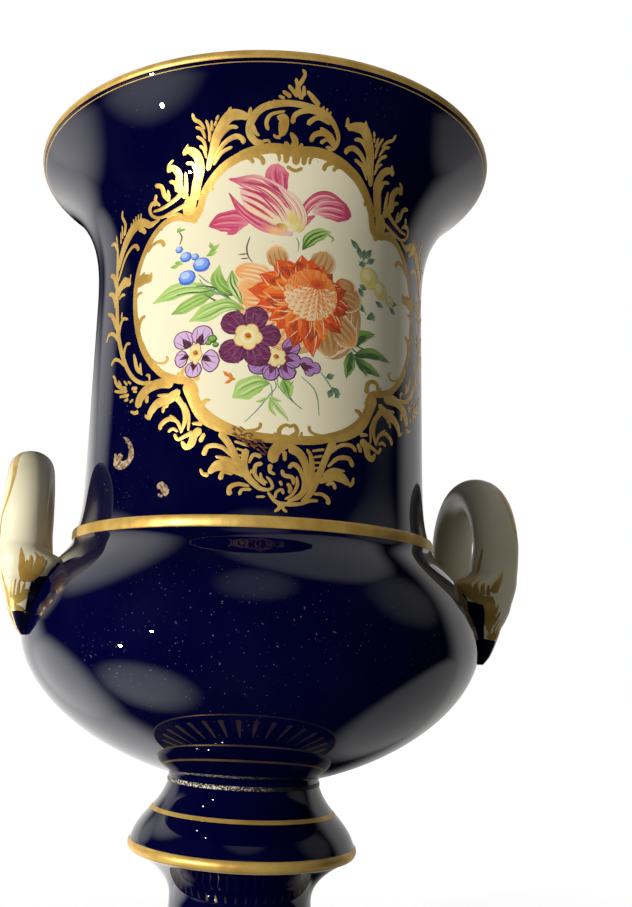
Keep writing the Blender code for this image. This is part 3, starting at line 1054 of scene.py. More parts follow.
def leaf_cobalt(share, angle):
    """Above 0 on the patch between the leaf and the bowl, which is glazed blue."""
    turn = min(angle, 2.0 * math.pi - angle)
    for end, limit in COBALT_LIMITS:
        if share < end:
            return (turn - limit) * 2.0
    return -1.0


# Gilding on the legs, in millimetres round the leg from its front and up from the leaf's tip
LEAF_MM = 37.0
MM_PER_DEGREE = 0.14
LEFT_LEAF = [
    ([(0.7, 31), (0.9, 26), (1.5, 21), (2.4, 18.4)], [0.4, 1, 1.4, 1.2]),
    ([(1.6, 21), (3, 19.8), (4.4, 21.6), (5.6, 24.6)], [1.6, 3, 3.2, 1.8]),
    ([(2.2, 20.5), (1.9, 23.5), (1.7, 26.6)], [1, 0.9, 0.3]),
    ([(3, 21), (2.5, 25), (2.4, 28.4)], [1.2, 1, 0.4]),
    ([(3.9, 22), (3.8, 26), (3.7, 29.6)], [1.2, 1.2, 0.5]),
    ([(4.8, 23), (4.6, 26), (4.5, 28.4)], [1, 0.9, 0.4]),
    ([(5.6, 24), (5.3, 25.6), (5.2, 27)], [0.9, 0.7, 0.3]),
    ([(-5.4, 11.8), (-2, 11.8), (0.6, 12.4), (2.6, 13.6), (3.6, 16.2)],
     [1.6, 2.8, 3, 2.6, 1.4]),
    ([(-4.6, 12.6), (-4.2, 15.4), (-3.9, 17.9)], [1.2, 0.9, 0.3]),
    ([(-2.8, 12.6), (-2.2, 16), (-1.6, 19)], [1.3, 0.9, 0.3]),
    ([(-1, 12.8), (-0.4, 16.2), (0.2, 19.6)], [1.2, 0.9, 0.3]),
    ([(0.8, 13), (1, 16.4), (1.2, 19.6)], [1.2, 0.8, 0.3]),
    ([(2.2, 13.6), (2.4, 16.4), (2.6, 18.8)], [1, 0.8, 0.3]),
    ([(-6.3, 22.8), (-5.2, 18), (-5, 14.8), (-5.6, 11.2)], [0.3, 0.7, 1.2, 1.8]),
    ([(-6, 10.8), (-2, 10), (0.8, 9.4), (3.6, 8.6)], [2, 2.2, 2, 1.2]),
    ([(5.2, 22.2), (5.3, 22.4)], [0.8, 0.8]),
    ([(5, 18.8), (5.1, 19)], [0.8, 0.8]),
    ([(4.6, 15.2), (4.7, 15.4)], [0.9, 0.9]),
    ([(4.2, 11.6), (4.3, 11.8)], [0.9, 0.9]),
    ([(4, 8.4), (4.1, 7.6)], [0.9, 0.9]),
]
RIGHT_LEAF = [
    ([(7.6, 36.6), (8.5, 33.6), (9.2, 31)], [0.7, 1.2, 0.8]),
    ([(0.5, 32.8), (0.9, 29.6), (1.4, 26.6), (1.8, 24.2)], [0.3, 0.9, 1.3, 1.6]),
    ([(9.6, 28), (7.6, 26), (6.4, 23.8), (5, 22.2), (3.4, 21.8), (1.9, 23)],
     [2.2, 3.6, 3.8, 3.4, 3, 2]),
    ([(8.8, 28), (9.1, 30), (9.3, 31.8)], [1, 0.9, 0.4]),
    ([(7.2, 26.4), (7.4, 29), (7.7, 31.2)], [1.1, 0.9, 0.4]),
    ([(6, 25), (6.1, 27.6), (6.2, 30)], [1.1, 0.9, 0.4]),
    ([(5, 24), (4.8, 26.6), (4.6, 29)], [1, 0.8, 0.3]),
    ([(4, 23.4), (3.7, 25.8), (3.4, 27.8)], [1, 0.8, 0.3]),
    ([(3, 23.2), (2.7, 25.4), (2.6, 27.2)], [0.9, 0.7, 0.3]),
    ([(2.3, 22.6), (2.8, 18.8), (2.7, 15.2), (2.1, 11.2)], [2.2, 3, 3.4, 1.8]),
    ([(1.3, 13.4), (0.6, 16), (0, 18.2)], [1.2, 0.8, 0.3]),
    ([(1.6, 17), (1, 19), (0.6, 20.8)], [1.2, 0.7, 0.3]),
    ([(3.2, 9.8), (0.4, 9.6), (-3, 10), (-6.6, 11)], [1.6, 2.6, 2.4, 1.4]),
    ([(2.2, 10.6), (1.8, 13.4), (1.4, 16.2)], [1.2, 0.9, 0.3]),
    ([(0.2, 10.6), (-0.3, 13.2), (-0.6, 15.8)], [1.2, 0.9, 0.3]),
    ([(-2, 10.8), (-2.6, 13), (-3.2, 15.2)], [1.1, 0.8, 0.3]),
    ([(-4.4, 11), (-5.4, 13), (-6.4, 14.8)], [1, 0.8, 0.3]),
]
CROWN_LINE = [
    ([(-3.4, 73), (-4.4, 69.7), (-4.8, 65), (-4.4, 58), (-5.2, 49.4), (-6.8, 42.2),
      (-8.6, 36), (-9.6, 28), (-10, 18)], [1.2, 2.2, 1.6, 1, 0.9, 0.8, 0.8, 0.7, 0.5]),
]


def leg_surface(side, lean, lift, mirrored_y):
    """A place function over one leg and its half of the crown."""
    rows = [s for s in smooth_sections(handle_sections(lean, lift), 4) if s[3] <= 90.0]

    def place(around, up, rise):
        share = min(max(up / LEAF_MM, 0.0), rows[-1][0])
        index = 0
        while index < len(rows) - 2 and rows[index + 1][0] < share:
            index += 1
        low, high = rows[index], rows[index + 1]
        part = (share - low[0]) / max(high[0] - low[0], 1e-6)
        _, y, z, turn, middle, inner, outer, half = (a + (b - a) * part
                                                     for a, b in zip(low, high))
        angle = math.radians(90.0 + around / MM_PER_DEGREE)
        out = math.cos(angle)
        gap = abs(math.atan2(math.sin(angle), out))
        raised = rise * MM
        depth = out * ((outer if out > 0.0 else inner) + raised)
        depth -= channel(gap, outer)
        off = (half + raised) * math.sin(angle)
        across_y = -math.cos(math.radians(turn))
        across_z = math.sin(math.radians(turn))
        spot_y = y + off * across_y
        return Vector((side * (middle + depth), -spot_y if mirrored_y else spot_y,
                       z + off * across_z))

    def middle_of(place_on_leg):
        sign = 1.0 if place_on_leg.y > 0.0 else -1.0
        nearest = min(rows, key=lambda s: abs(s[2] - place_on_leg.z))
        return Vector((side * nearest[4], sign * abs(nearest[1]), place_on_leg.z))

    return place, middle_of


def leaf_gilding(name, side, standoff, lift, strokes):
    """Comb-edged gold strokes on both legs, and a plainer copy on the faces of the loop."""
    canvas = Canvas()
    lean = RIGHT_STANDOFF - standoff
    relief = sizes().gold_relief / MM
    middle_of = None
    for mirrored_y in (False, True):
        place, middle_of = leg_surface(side, lean, lift, mirrored_y)
        for number, (points, widths) in enumerate(strokes + CROWN_LINE):
            canvas.stroke(points, widths, 0.04 + 0.008 * (number % 4), relief, sides=4,
                          pitch=0.6, place=place)
        for number, (points, widths) in enumerate(strokes):
            round_back = [(2.0 * 90.0 * MM_PER_DEGREE - u, v) for u, v in points]
            canvas.stroke(round_back, widths, 0.04 + 0.008 * (number % 4), relief, sides=4,
                          pitch=0.8, place=place)
    return canvas.finish(name, material(bright_gold), "gilding", middle_of)


class VASE_OT_handles(bpy.types.Operator):
    """Model the two loop handles with gilt leaves at their roots"""

    bl_idname = "vase.handles"
    bl_label = "Handles"

    def execute(self, context):
        handle_piece("left_handle", -1.0, LEFT_STANDOFF, LEFT_ROOT_LIFT)
        handle_piece("right_handle", 1.0, RIGHT_STANDOFF, 0.0)
        leaf_gilding("left_leaf_gilding", -1.0, LEFT_STANDOFF, LEFT_ROOT_LIFT, LEFT_LEAF)
        leaf_gilding("right_leaf_gilding", 1.0, RIGHT_STANDOFF, 0.0, RIGHT_LEAF)
        return {"FINISHED"}


class VASE_OT_reserve(bpy.types.Operator):
    """Lay the white reserve on the front of the neck"""

    bl_idname = "vase.reserve"
    bl_label = "White reserve"

    def execute(self, context):
        shape = bmesh.new()
        edge = reserve_edge(RESERVE_POINTS)
        centre = Vector(RESERVE_CENTRE)
        ring = first_ring(shape, RESERVE_POINTS, False)
        for number in range(RESERVE_RINGS):
            share = 1.0 - number / RESERVE_RINGS
            if number:
                ring = next_ring(shape, ring)
            for vert, spot in zip(ring, edge):
                place = centre + (spot - centre) * share
                vert.co = on_wall(place.x, place.y, RESERVE_LIFT if number else 0.0)
        bmesh.ops.contextual_create(shape, geom=ring_edges(shape, ring))
        bmesh.ops.triangulate(shape, faces=[f for f in shape.faces if len(f.verts) > 4])
        face_outwards(shape)
        finished("white_reserve", shape, [material(porcelain)],
                 smooth_angle=None)
        return {"FINISHED"}


# Scrolls of the gold frame, drawn on the left half and mirrored to the right. Each has its path
# in millimetres across and of height, and its widths along the path.
MIRRORED_SCROLLS = [
    # corner mass and big leaves, upper left
    ([(-29.5, 268), (-32, 265), (-34, 267.5), (-32.5, 272)], [3, 4.2, 4.4, 4]),
    ([(-31, 262.5), (-33, 264)], [2.2, 2.6]),
    ([(-32, 270), (-31, 275), (-29.4, 280), (-30, 284), (-32.8, 285.8), (-34.4, 284.6)],
     [3.6, 3.2, 3, 2.6, 1.4]),
    ([(-33.6, 285.7), (-32.2, 287.4)], [0.9, 0.7]),
    ([(-32.4, 273), (-31, 278), (-31.6, 281.6), (-34, 282.2)], [1.6, 1.3, 1.3, 0.9]),
    ([(-35, 273), (-34.6, 276.5), (-34.4, 279.8)], [1.8, 1.4, 0.9]),
    ([(-34.5, 271.5), (-37.2, 275.5), (-36.8, 279.5), (-38.8, 281.8), (-40.6, 280.8)],
     [2.4, 2.8, 2.4, 1.5]),
    ([(-40.6, 280.6), (-39.8, 282.8), (-37.8, 284)], [1.1, 0.9, 0.7]),
    ([(-38, 274), (-38.6, 277), (-40.7, 278)], [1.6, 1.4, 1]),
    ([(-35, 274.5), (-39, 271.8), (-44, 270), (-48.3, 269.8)], [1.8, 1.5, 1.2, 0.8]),
    ([(-41, 271.8), (-43, 274.2), (-43.8, 277), (-46.4, 278)], [1.6, 1.8, 1.5, 1.2]),
    ([(-41.2, 272.8), (-41.6, 275.6)], [1.2, 0.8]),
    ([(-45, 271), (-46.9, 273), (-46.2, 275.2)], [0.9, 1.3, 1.2]),
    ([(-34, 269.6), (-40, 268), (-45, 267), (-48.6, 268.4), (-49.6, 271), (-48, 272.6),
      (-46.6, 271.6)], [1.8, 1.3, 1.1, 1, 1.1, 1.3, 1.5]),
    ([(-37.4, 272.2), (-43.6, 269.8)], [0.8, 0.5]),
    ([(-36.5, 265.6), (-39.5, 267), (-43, 266.6)], [1.6, 1.4, 0.9]),
    # outer leaf band and comb, far upper left
    ([(-68, 254), (-64, 261.5), (-58.5, 266.4), (-53.5, 267.4), (-49.6, 265.6), (-45.5, 266.6)],
     [2.4, 3.2, 3.6, 3.4, 2.6, 1]),
    ([(-55.5, 266), (-53.6, 265), (-51.9, 263.2)], [2.2, 1.8, 1.3]),
    ([(-67, 250), (-63.4, 256.8), (-59.5, 260), (-56.8, 260), (-55.3, 257.9)],
     [1, 1.2, 1.3, 1.4, 1.4]),
    ([(-63.6, 265.8), (-62.5, 269.6), (-63.8, 272.6), (-63, 274.8)], [1.6, 1.4, 1.2, 0.9]),
    ([(-64.8, 265.2), (-64.6, 270)], [1, 0.8]),
    ([(-66, 263.6), (-65.8, 268)], [0.9, 0.7]),
    # side stem and its fronds
    ([(-69, 268), (-68.4, 261), (-68.2, 254), (-67.6, 246), (-66.4, 238), (-64.8, 230),
      (-61.8, 222.5), (-58, 216), (-54, 211.6), (-49.5, 209.3), (-45.5, 209.4)],
     [0.9, 1.8, 2.2, 2.2, 2, 1.6, 1.2]),
    ([(-68.5, 262), (-70.5, 265.2), (-73.5, 265.6)], [1.4, 1.4, 1]),
    ([(-68, 248), (-70.6, 252.6), (-74, 254.6)], [2, 2.2, 1.2]),
    ([(-67.4, 240), (-70, 245.4), (-74.4, 247.6)], [1.8, 2.2, 1.2]),
    ([(-66, 232), (-69.6, 237.4), (-74, 240)], [1.6, 2, 1]),
    ([(-63.6, 226.4), (-67.4, 230.2), (-71.6, 231.4), (-73.6, 229)], [1.2, 1.4, 1.4, 1.3]),
    ([(-67.4, 242.4), (-65.4, 246.8), (-62, 248), (-58.8, 246.4)], [1, 3, 3.6, 1.6]),
    ([(-65, 248.6), (-62.2, 250.2)], [1.1, 0.8]),
    ([(-59.6, 247.4), (-59.1, 250.4)], [1, 0.7]),
    ([(-65.8, 242.8), (-63.8, 243.8), (-61.6, 243.3)], [1, 1.2, 0.8]),
    ([(-64.2, 226.5), (-63.8, 232), (-62.2, 234.6), (-59.1, 233.8)], [1, 1.4, 1.4, 0.9]),
    ([(-63.2, 234.8), (-63.1, 237.6)], [1, 0.8]),
    ([(-60.2, 218.6), (-60.2, 222.6), (-58.8, 224.8), (-56.8, 224.4)], [1.2, 1.5, 1.4, 0.9]),
    ([(-49.9, 212.2), (-52.8, 215), (-54, 218.2), (-54.9, 220.6)], [0.6, 1.7, 1.5, 0.8]),
    ([(-50.8, 213), (-51.5, 216.8)], [1.1, 0.8]),
    ([(-46.8, 209.8), (-47.1, 211.6), (-48.6, 211.9)], [0.7, 1.1, 0.9]),
    ([(-59.4, 217), (-62.6, 219.6), (-66, 220.8), (-68.4, 219.2)], [0.8, 1.1, 1.3, 1.3]),
    # feathers and fans, lower left
    ([(-57.4, 208.8), (-61, 209.8), (-64, 212), (-65.2, 214.2), (-66.8, 215.1)],
     [1.4, 1.4, 1.3, 0.9]),
    ([(-60.6, 210.2), (-62.8, 212.7)], [1.2, 0.7]),
    ([(-57.2, 209.9), (-59.5, 211.9)], [1, 0.7]),
    ([(-55.2, 210), (-57.2, 211.3)], [1, 0.7]),
    ([(-57, 207.8), (-61, 208.3), (-64.8, 209.3)], [1.3, 1.3, 0.8]),
    ([(-56, 206.2), (-61.4, 206.6)], [1.3, 0.9]),
    ([(-56.2, 204.8), (-58.6, 204.8)], [1.2, 0.8]),
    ([(-53.8, 204.4), (-55.6, 203.6)], [1.1, 0.9]),
    ([(-52, 208), (-55, 208.4)], [1.3, 1.4]),
    ([(-52, 206.8), (-54.2, 207.2)], [0.8, 0.8]),
    ([(-37, 207.6), (-42, 208.2), (-47, 207.2), (-50.4, 204.4), (-51.4, 201)],
     [3.2, 3.6, 3.4, 3.6, 3]),
    ([(-50.8, 199.8), (-52.8, 199.6), (-54.8, 200.5)], [1.8, 1.1, 0.8]),
    ([(-47.6, 205), (-47.3, 202.1)], [1.8, 1.3]),
    ([(-34.5, 205.2), (-38.5, 202.6), (-43, 201.4), (-45.6, 198.6), (-45.2, 197)],
     [2.2, 3.4, 3.2, 2.8, 2]),
    ([(-45.2, 196.8), (-46.8, 197.2), (-47.9, 198.4)], [1.4, 1, 0.8]),
    ([(-38.6, 203.8), (-43.2, 204.3)], [1.3, 0.9]),
    ([(-38.4, 200.6), (-40.3, 199.8), (-40.4, 198)], [1.2, 1.2, 1.1]),
    ([(-33.6, 191.6), (-34.8, 194.6), (-38, 195.9), (-41, 194.2), (-41.2, 192.4)],
     [0.7, 1.2, 1.5, 1.7, 1.6]),
    ([(-33.8, 192.6), (-35.6, 195.4), (-38, 197.2)], [0.7, 1, 0.8]),
    ([(-34.4, 191.4), (-36.4, 192.5), (-38.3, 191.6)], [0.8, 1.1, 1.1]),
    ([(-36, 203.4), (-33, 199.4), (-32.2, 195), (-33.6, 190.8)], [2.2, 1.8, 1.5, 1]),
    ([(-33.2, 201), (-31, 196.6), (-30.9, 191.4)], [1.2, 1.1, 0.9]),
    ([(-26.5, 192), (-28.8, 190), (-29.6, 187.4), (-31.4, 186.2), (-33.2, 188.4)],
     [2.6, 2.8, 2.6, 1.8, 1]),
    ([(-35.9, 190.9), (-34.4, 188.9), (-32, 189.8), (-29, 191)], [1.1, 1.2, 1.4, 2]),
    ([(-26, 193.6), (-29.8, 193.9)], [1.6, 0.9]),
    ([(-25.4, 190.6), (-26.8, 187.6)], [1.5, 1.4]),
    ([(-31.5, 208), (-30.6, 203.6), (-27.4, 197.6), (-22, 193), (-14, 190)],
     [5, 3.6, 3.8, 3, 2.2]),
    # palm at the top, left of the middle
    ([(-27, 279), (-25, 284), (-22.8, 289), (-19.4, 293), (-16.4, 293.4), (-13.8, 292.6)],
     [1.6, 2.2, 2.6, 2.6, 2.6, 1.8]),
    ([(-13.9, 292.6), (-13.2, 295.2)], [1.3, 0.8]),
    ([(-21.6, 291), (-18.4, 295.4)], [1.8, 0.8]),
    ([(-25.6, 283), (-22.4, 288), (-19.4, 290.4), (-16.8, 290.3)], [0.8, 1.1, 1.2, 0.9]),
    ([(-25.2, 281.6), (-21.4, 286.2), (-17.8, 288), (-15.7, 287.2), (-15.6, 285.8)],
     [0.8, 1.2, 1.3, 1.5, 1.5]),
    ([(-25, 280.4), (-22.2, 283.8), (-18.7, 285.3)], [0.8, 1.1, 0.9]),
    ([(-27, 282.6), (-27.5, 285.3), (-28.9, 286.5)], [0.7, 1, 0.8]),
    ([(-26.7, 284.6), (-27.4, 287.6), (-29.4, 289.1)], [0.7, 1.1, 0.9]),
    ([(-26.6, 288), (-27.5, 290.6), (-29.3, 291.4)], [0.7, 1, 0.8]),
    ([(-26.4, 290.4), (-27.6, 292.4), (-29, 293.3), (-29.3, 295)], [0.7, 1, 1, 0.9]),
    ([(-25.6, 287), (-25.2, 290), (-25.8, 293)], [0.7, 1, 0.8]),
    ([(-24.4, 289.8), (-24.2, 292.7)], [0.9, 0.7]),
    ([(-23.6, 291), (-22.8, 292.4)], [0.8, 0.6]),
    ([(-23, 292.4), (-22, 293.7)], [0.8, 0.6]),
]

COMB_ACROSS = (-61, -59.4, -58, -56.7, -55.4, -54.1)

# The scroll at the top of the frame and the pendant below it lean one way, as drawn by hand
TOP_SCROLLS = [
    ([(-9.4, 285.9), (-12, 286.5), (-13.7, 289), (-13, 292.2), (-10, 295), (-4.5, 296.2),
      (1.5, 296), (7, 294.8), (10.6, 292), (12.2, 289.2), (11.6, 286.8), (9.4, 285.9)],
     [1.8, 2.2, 1.8, 1.5, 1.4, 1.2, 1]),
    ([(-12.6, 291), (-12, 289), (-10.8, 288)], [0.7, 1.1, 0.8]),
    ([(-10, 286.6), (-8.2, 286.8), (-7.6, 285.8)], [1, 0.8, 0.8]),
    ([(-4, 294.4), (-7.8, 293.4), (-9, 291.4), (-8.3, 289.4)], [0.6, 0.8, 1.1, 1]),
    ([(-6.3, 293), (-4.4, 292.4), (-4.2, 290), (-4.8, 288)], [0.9, 2.8, 2.6, 1.6]),
    ([(-4.6, 288), (-5.9, 287.8), (-7, 288.5)], [1.2, 0.9, 0.7]),
    ([(7.4, 294), (2.4, 295), (-1.2, 293.8), (-1.8, 291.4)], [0.7, 1.1, 1.3, 1.3]),
    ([(9, 292.6), (5, 293.7), (2.2, 291.7)], [0.8, 1.2, 1.4]),
    ([(12, 287.6), (9.6, 290), (6, 291.4)], [0.6, 1, 0.9]),
    ([(11.8, 287.2), (8, 290), (5, 289.4), (4, 287.3)], [0.6, 1.2, 1.6, 1.5]),
    ([(11.4, 287), (9, 288.7), (6.9, 287.4)], [0.6, 1, 1.2]),
    ([(10.8, 286.8), (8.8, 286.6)], [0.8, 0.9]),
    ([(0.2, 297.4), (-1.6, 299.4), (-0.6, 301.6), (-0.3, 302.8), (-1.2, 303.6)],
     [1.2, 1.3, 1.1, 0.9, 0.6]),
    ([(-0.8, 298.4), (-2.4, 301.8)], [1.1, 0.7]),
    ([(0.4, 298), (-0.2, 300.4)], [1, 0.8]),
    ([(-1.2, 297.8), (-4, 300.2)], [1.1, 0.8]),
    ([(-2.8, 297.6), (-5.3, 298.9)], [1, 0.8]),
    ([(-4.4, 297.2), (-6.2, 297.8)], [0.8, 0.7]),
    ([(4.8, 296.4), (2.6, 298), (0.8, 299.4)], [1.3, 1.2, 0.7]),
    ([(2.9, 297.8), (2.8, 298.5)], [0.8, 0.6]),
    ([(-1, 284.8), (-0.4, 287), (-2.1, 289.4)], [2.6, 2, 0.8]),
    ([(-2, 285), (-3.5, 286.8)], [1.6, 1.2]),
    ([(1, 285), (1.8, 286.8)], [1.5, 1.1]),
]
TOP_BEADS = [(-9.6, 295.6), (-8.4, 296.1), (-7.2, 296.5), (5.9, 296.1), (7, 295.8), (8.1, 295.2)]

PENDANT_SCROLLS = [
    ([(-20.5, 190.8), (-17.4, 187), (-14.8, 182), (-11.4, 176.6), (-7.6, 173.2), (-4.2, 172.6)],
     [2.4, 2.2, 2.4, 2.2, 1.6, 1.1]),
    ([(-16.2, 183), (-19.8, 186), (-24, 186.2), (-25.5, 183.2)], [1, 1.3, 1.5, 1.7]),
    ([(-13.4, 179.4), (-17, 181.8), (-21.6, 183)], [1.6, 1.5, 0.9]),
    ([(-12, 176.6), (-16.6, 179.6), (-20.6, 180), (-23.6, 177.6)], [1.2, 3, 3.4, 1.8]),
    ([(-23.2, 177), (-25.2, 177.4), (-26.3, 179.2)], [1.8, 1.1, 0.8]),
    ([(-15.6, 177.4), (-18.8, 178), (-19.7, 175.4)], [1.2, 1.4, 1.7]),
    ([(-10.4, 173.6), (-14, 174.2), (-16.6, 173), (-16.4, 170.4)], [0.9, 1.2, 1.5, 1.7]),
    ([(-9.8, 172.6), (-12.8, 172.4), (-13.5, 170.6)], [0.9, 1, 1.1]),
    ([(-12, 185.6), (-12.4, 180.4), (-10.8, 176.4), (-7.6, 173.6)], [2.2, 2, 1.8, 1.2]),
    ([(-11, 180.8), (-9.6, 183.6), (-7, 183)], [0.8, 1.2, 1.5]),
    ([(-6.6, 181), (-8.8, 180.2), (-8.8, 177), (-5.5, 174)], [1.5, 1.3, 1.2, 0.8]),
    ([(-7.3, 178.2), (-6.8, 176), (-5, 174.8)], [0.8, 1, 0.7]),
    ([(-5.6, 177), (-4.2, 175.6), (-3.5, 173.6), (-5.2, 172.4)], [0.7, 1, 1, 0.9]),
    ([(-9.6, 179), (-10.6, 177.4)], [1.2, 0.8]),
    ([(2.4, 189.4), (-0.8, 187.4), (-3.2, 184.6), (-3.6, 181.2)], [4.6, 4.2, 3.8, 3]),
    ([(-4.2, 181), (-4.4, 178.6), (-2.6, 177.6)], [1.8, 1.3, 0.8]),
    ([(0, 185.4), (0.2, 182)], [1.5, 1.1]),
    ([(1.2, 186.6), (5, 184.6), (7.2, 180), (7.2, 175.2), (5, 171.4), (1, 169.2)],
     [3, 2.6, 2.4, 2.2, 1.8, 1]),
    ([(1.3, 179.8), (2.9, 181.3), (5.1, 179.6), (6.2, 176), (5.6, 172.6)],
     [1.2, 1.5, 1.3, 1, 0.7]),
    ([(-0.7, 179.4), (0, 177.6), (2.6, 177), (3.1, 174.6)], [1.1, 1.4, 1.4, 1]),
    ([(4, 177.6), (4.2, 174.6), (2.6, 171.6), (0.2, 169.8)], [0.9, 1.1, 0.9, 0.7]),
    ([(1, 175.2), (2, 173.6), (1.6, 171.8)], [1, 1.4, 0.9]),
    ([(-1.4, 175.8), (-0.5, 174.2)], [1, 0.9]),
    ([(-2.7, 170), (-2.3, 172), (-0.6, 173), (-0.1, 171.4)], [1, 1, 1, 1]),
    ([(-5, 172.2), (-3.6, 170.2), (-2, 168.8), (0.6, 168.4), (5, 168.8), (8, 170), (11, 170.3)],
     [0.9, 1.1, 1.4, 1.3, 1.2, 1.2, 0.9]),
    ([(-8.5, 170.3), (-5.6, 170.5)], [0.8, 0.8]),
    ([(-1.8, 169), (-1.3, 167.2), (-3, 165.7)], [1.2, 1.1, 0.8]),
    ([(-0.8, 168.4), (0, 166.6), (1.1, 165.9)], [1.2, 1.1, 0.8]),
    ([(16.4, 190.4), (13.6, 184.4), (11.2, 178.4), (8.6, 172.8), (5.4, 169.2)],
     [2.8, 2.2, 2.2, 2, 1.2]),
    ([(14.8, 188.8), (13.6, 184.4)], [0.9, 1.2]),
    ([(7.1, 186.6), (8.6, 184), (9, 178.4), (8.2, 173)], [1, 1.6, 2, 1.6]),
    ([(14.6, 185.6), (18.6, 188.8), (22.8, 189.4), (24.9, 187.6)], [0.9, 1.2, 1.3, 1.3]),
    ([(14.2, 181.4), (17.8, 184.6), (22, 185), (23.5, 182.4)], [0.9, 1.3, 1.5, 1.7]),
    ([(12.6, 178.4), (15.8, 180.6), (20.6, 180.8)], [1.2, 1.3, 0.8]),
    ([(11.2, 176), (15.4, 178.6), (19, 178.6), (22, 176.6)], [1.2, 2.8, 3.4, 1.9]),
    ([(21.6, 176.2), (23.2, 177.2), (23.8, 179.3)], [1.6, 1.2, 0.8]),
    ([(13.6, 175.6), (16, 176.4), (16.9, 174.4)], [1, 1.2, 1.3]),
    ([(9.4, 172.2), (12, 172.5), (14.1, 171.2), (14.2, 169.2)], [0.9, 1.2, 1.5, 1.6]),
    ([(8.8, 186), (13.2, 187)], [0.8, 0.8]),
    ([(9.2, 184), (12.6, 184.8)], [0.8, 0.8]),
    ([(9.4, 182.3), (12, 182.6)], [0.7, 0.7]),
    ([(9.6, 180.6), (11.3, 180.9)], [0.7, 0.7]),
    ([(9.5, 178.8), (10.6, 179.1)], [0.7, 0.7]),
    ([(-15.8, 187.9), (-11.4, 186.4)], [0.8, 0.8]),
    ([(-15.2, 185.6), (-12, 184.6)], [0.8, 0.8]),
    ([(-14.4, 183.6), (-12.6, 183)], [0.7, 0.7]),
    ([(-14, 181.8), (-12.8, 181.4)], [0.7, 0.7]),
]

# Flat gold curls that run from the frame into the white, left half
MIRRORED_CURLS = [
    ([(-51.2, 256), (-48.4, 258.2), (-45, 258.6), (-43.3, 256.4)], [1.4, 1.3, 1.4, 1.7]),
    ([(-56, 245.6), (-53, 246.4), (-50, 246.2), (-48.3, 245)], [4.6, 4.2, 3.4, 2.4]),
    ([(-48.7, 245.6), (-48.7, 248.4)], [1.4, 0.9]),
    ([(-54, 247.4), (-51.6, 249)], [1.6, 0.8]),
    ([(-55.4, 240.4), (-54, 241.8), (-52.2, 241.7)], [1.6, 1.2, 0.8]),
    ([(-53.6, 226.6), (-53.4, 230), (-51.8, 232.4), (-50, 232.9)], [1.6, 2.6, 1.7, 1.2]),
    ([(-54.2, 230), (-53.6, 233.2)], [1.6, 0.7]),
    ([(-47, 217.4), (-44, 215.5), (-41, 215), (-39.7, 216.2), (-40.5, 217.4)],
     [0.9, 0.7, 0.7, 1, 0.9]),
    ([(-20.6, 280), (-24.4, 277), (-26.1, 274.2), (-25.7, 272.4)], [0.8, 1, 1, 1.5]),
    ([(-15.5, 282.4), (-13.2, 281.6), (-12.6, 280.2)], [1.4, 1.3, 1.2]),
    ([(-14, 283), (-11, 282.4), (-9.6, 281.2), (-9.8, 279.8)], [1, 1.4, 1.4, 1.4]),
    ([(-6, 284.2), (-4.8, 282.6), (-4.8, 281)], [1, 1, 0.9]),
    ([(-34, 209.4), (-33.8, 211.6), (-31.4, 212.4), (-29.2, 210.8), (-28.9, 207.6)],
     [1.4, 1.5, 1.4, 1.7, 2.4]),
    ([(-35.4, 209.6), (-35.5, 211.4)], [1, 0.7]),
    ([(-29.6, 203.6), (-28, 204.8)], [1.4, 0.9]),
    ([(-27.4, 199.2), (-25.6, 201), (-23.8, 201.3)], [2, 1.6, 0.9]),
    ([(-15, 191.4), (-10.4, 191.4), (-8, 192.4), (-7.8, 194.2)], [1.2, 0.9, 1, 1.1]),
]
SHELL_CURLS = [
    ([(-2.6, 284), (-2.6, 280.6)], [2.2, 1.6]),
    ([(0.4, 285), (0.4, 280.4)], [3, 2.2]),
    ([(2.9, 284), (2.9, 280.6)], [2, 1.5]),
    ([(-2.4, 279.9), (0.4, 278.8), (2.8, 279.9)], [1.1, 1.1, 1.1]),
    ([(-1.8, 189), (-1.8, 192), (0, 193.6), (2.2, 193.3)], [1.8, 1.4, 1.1, 0.8]),
    ([(1.8, 189.4), (3.8, 191.6), (2.9, 193.7), (0.9, 192.8)], [2.4, 1.5, 1.3, 0.7]),
    ([(-3.2, 189), (-3.1, 191.2)], [1.2, 0.8]),
    ([(4.8, 189.2), (5.4, 192)], [1.2, 0.8]),
]


def mirrored(strokes):
    """The strokes and their mirror images across the panel's middle."""
    out = list(strokes)
    for points, widths in strokes:
        out.append(([(-x, z) for x, z in points], widths))
    return out


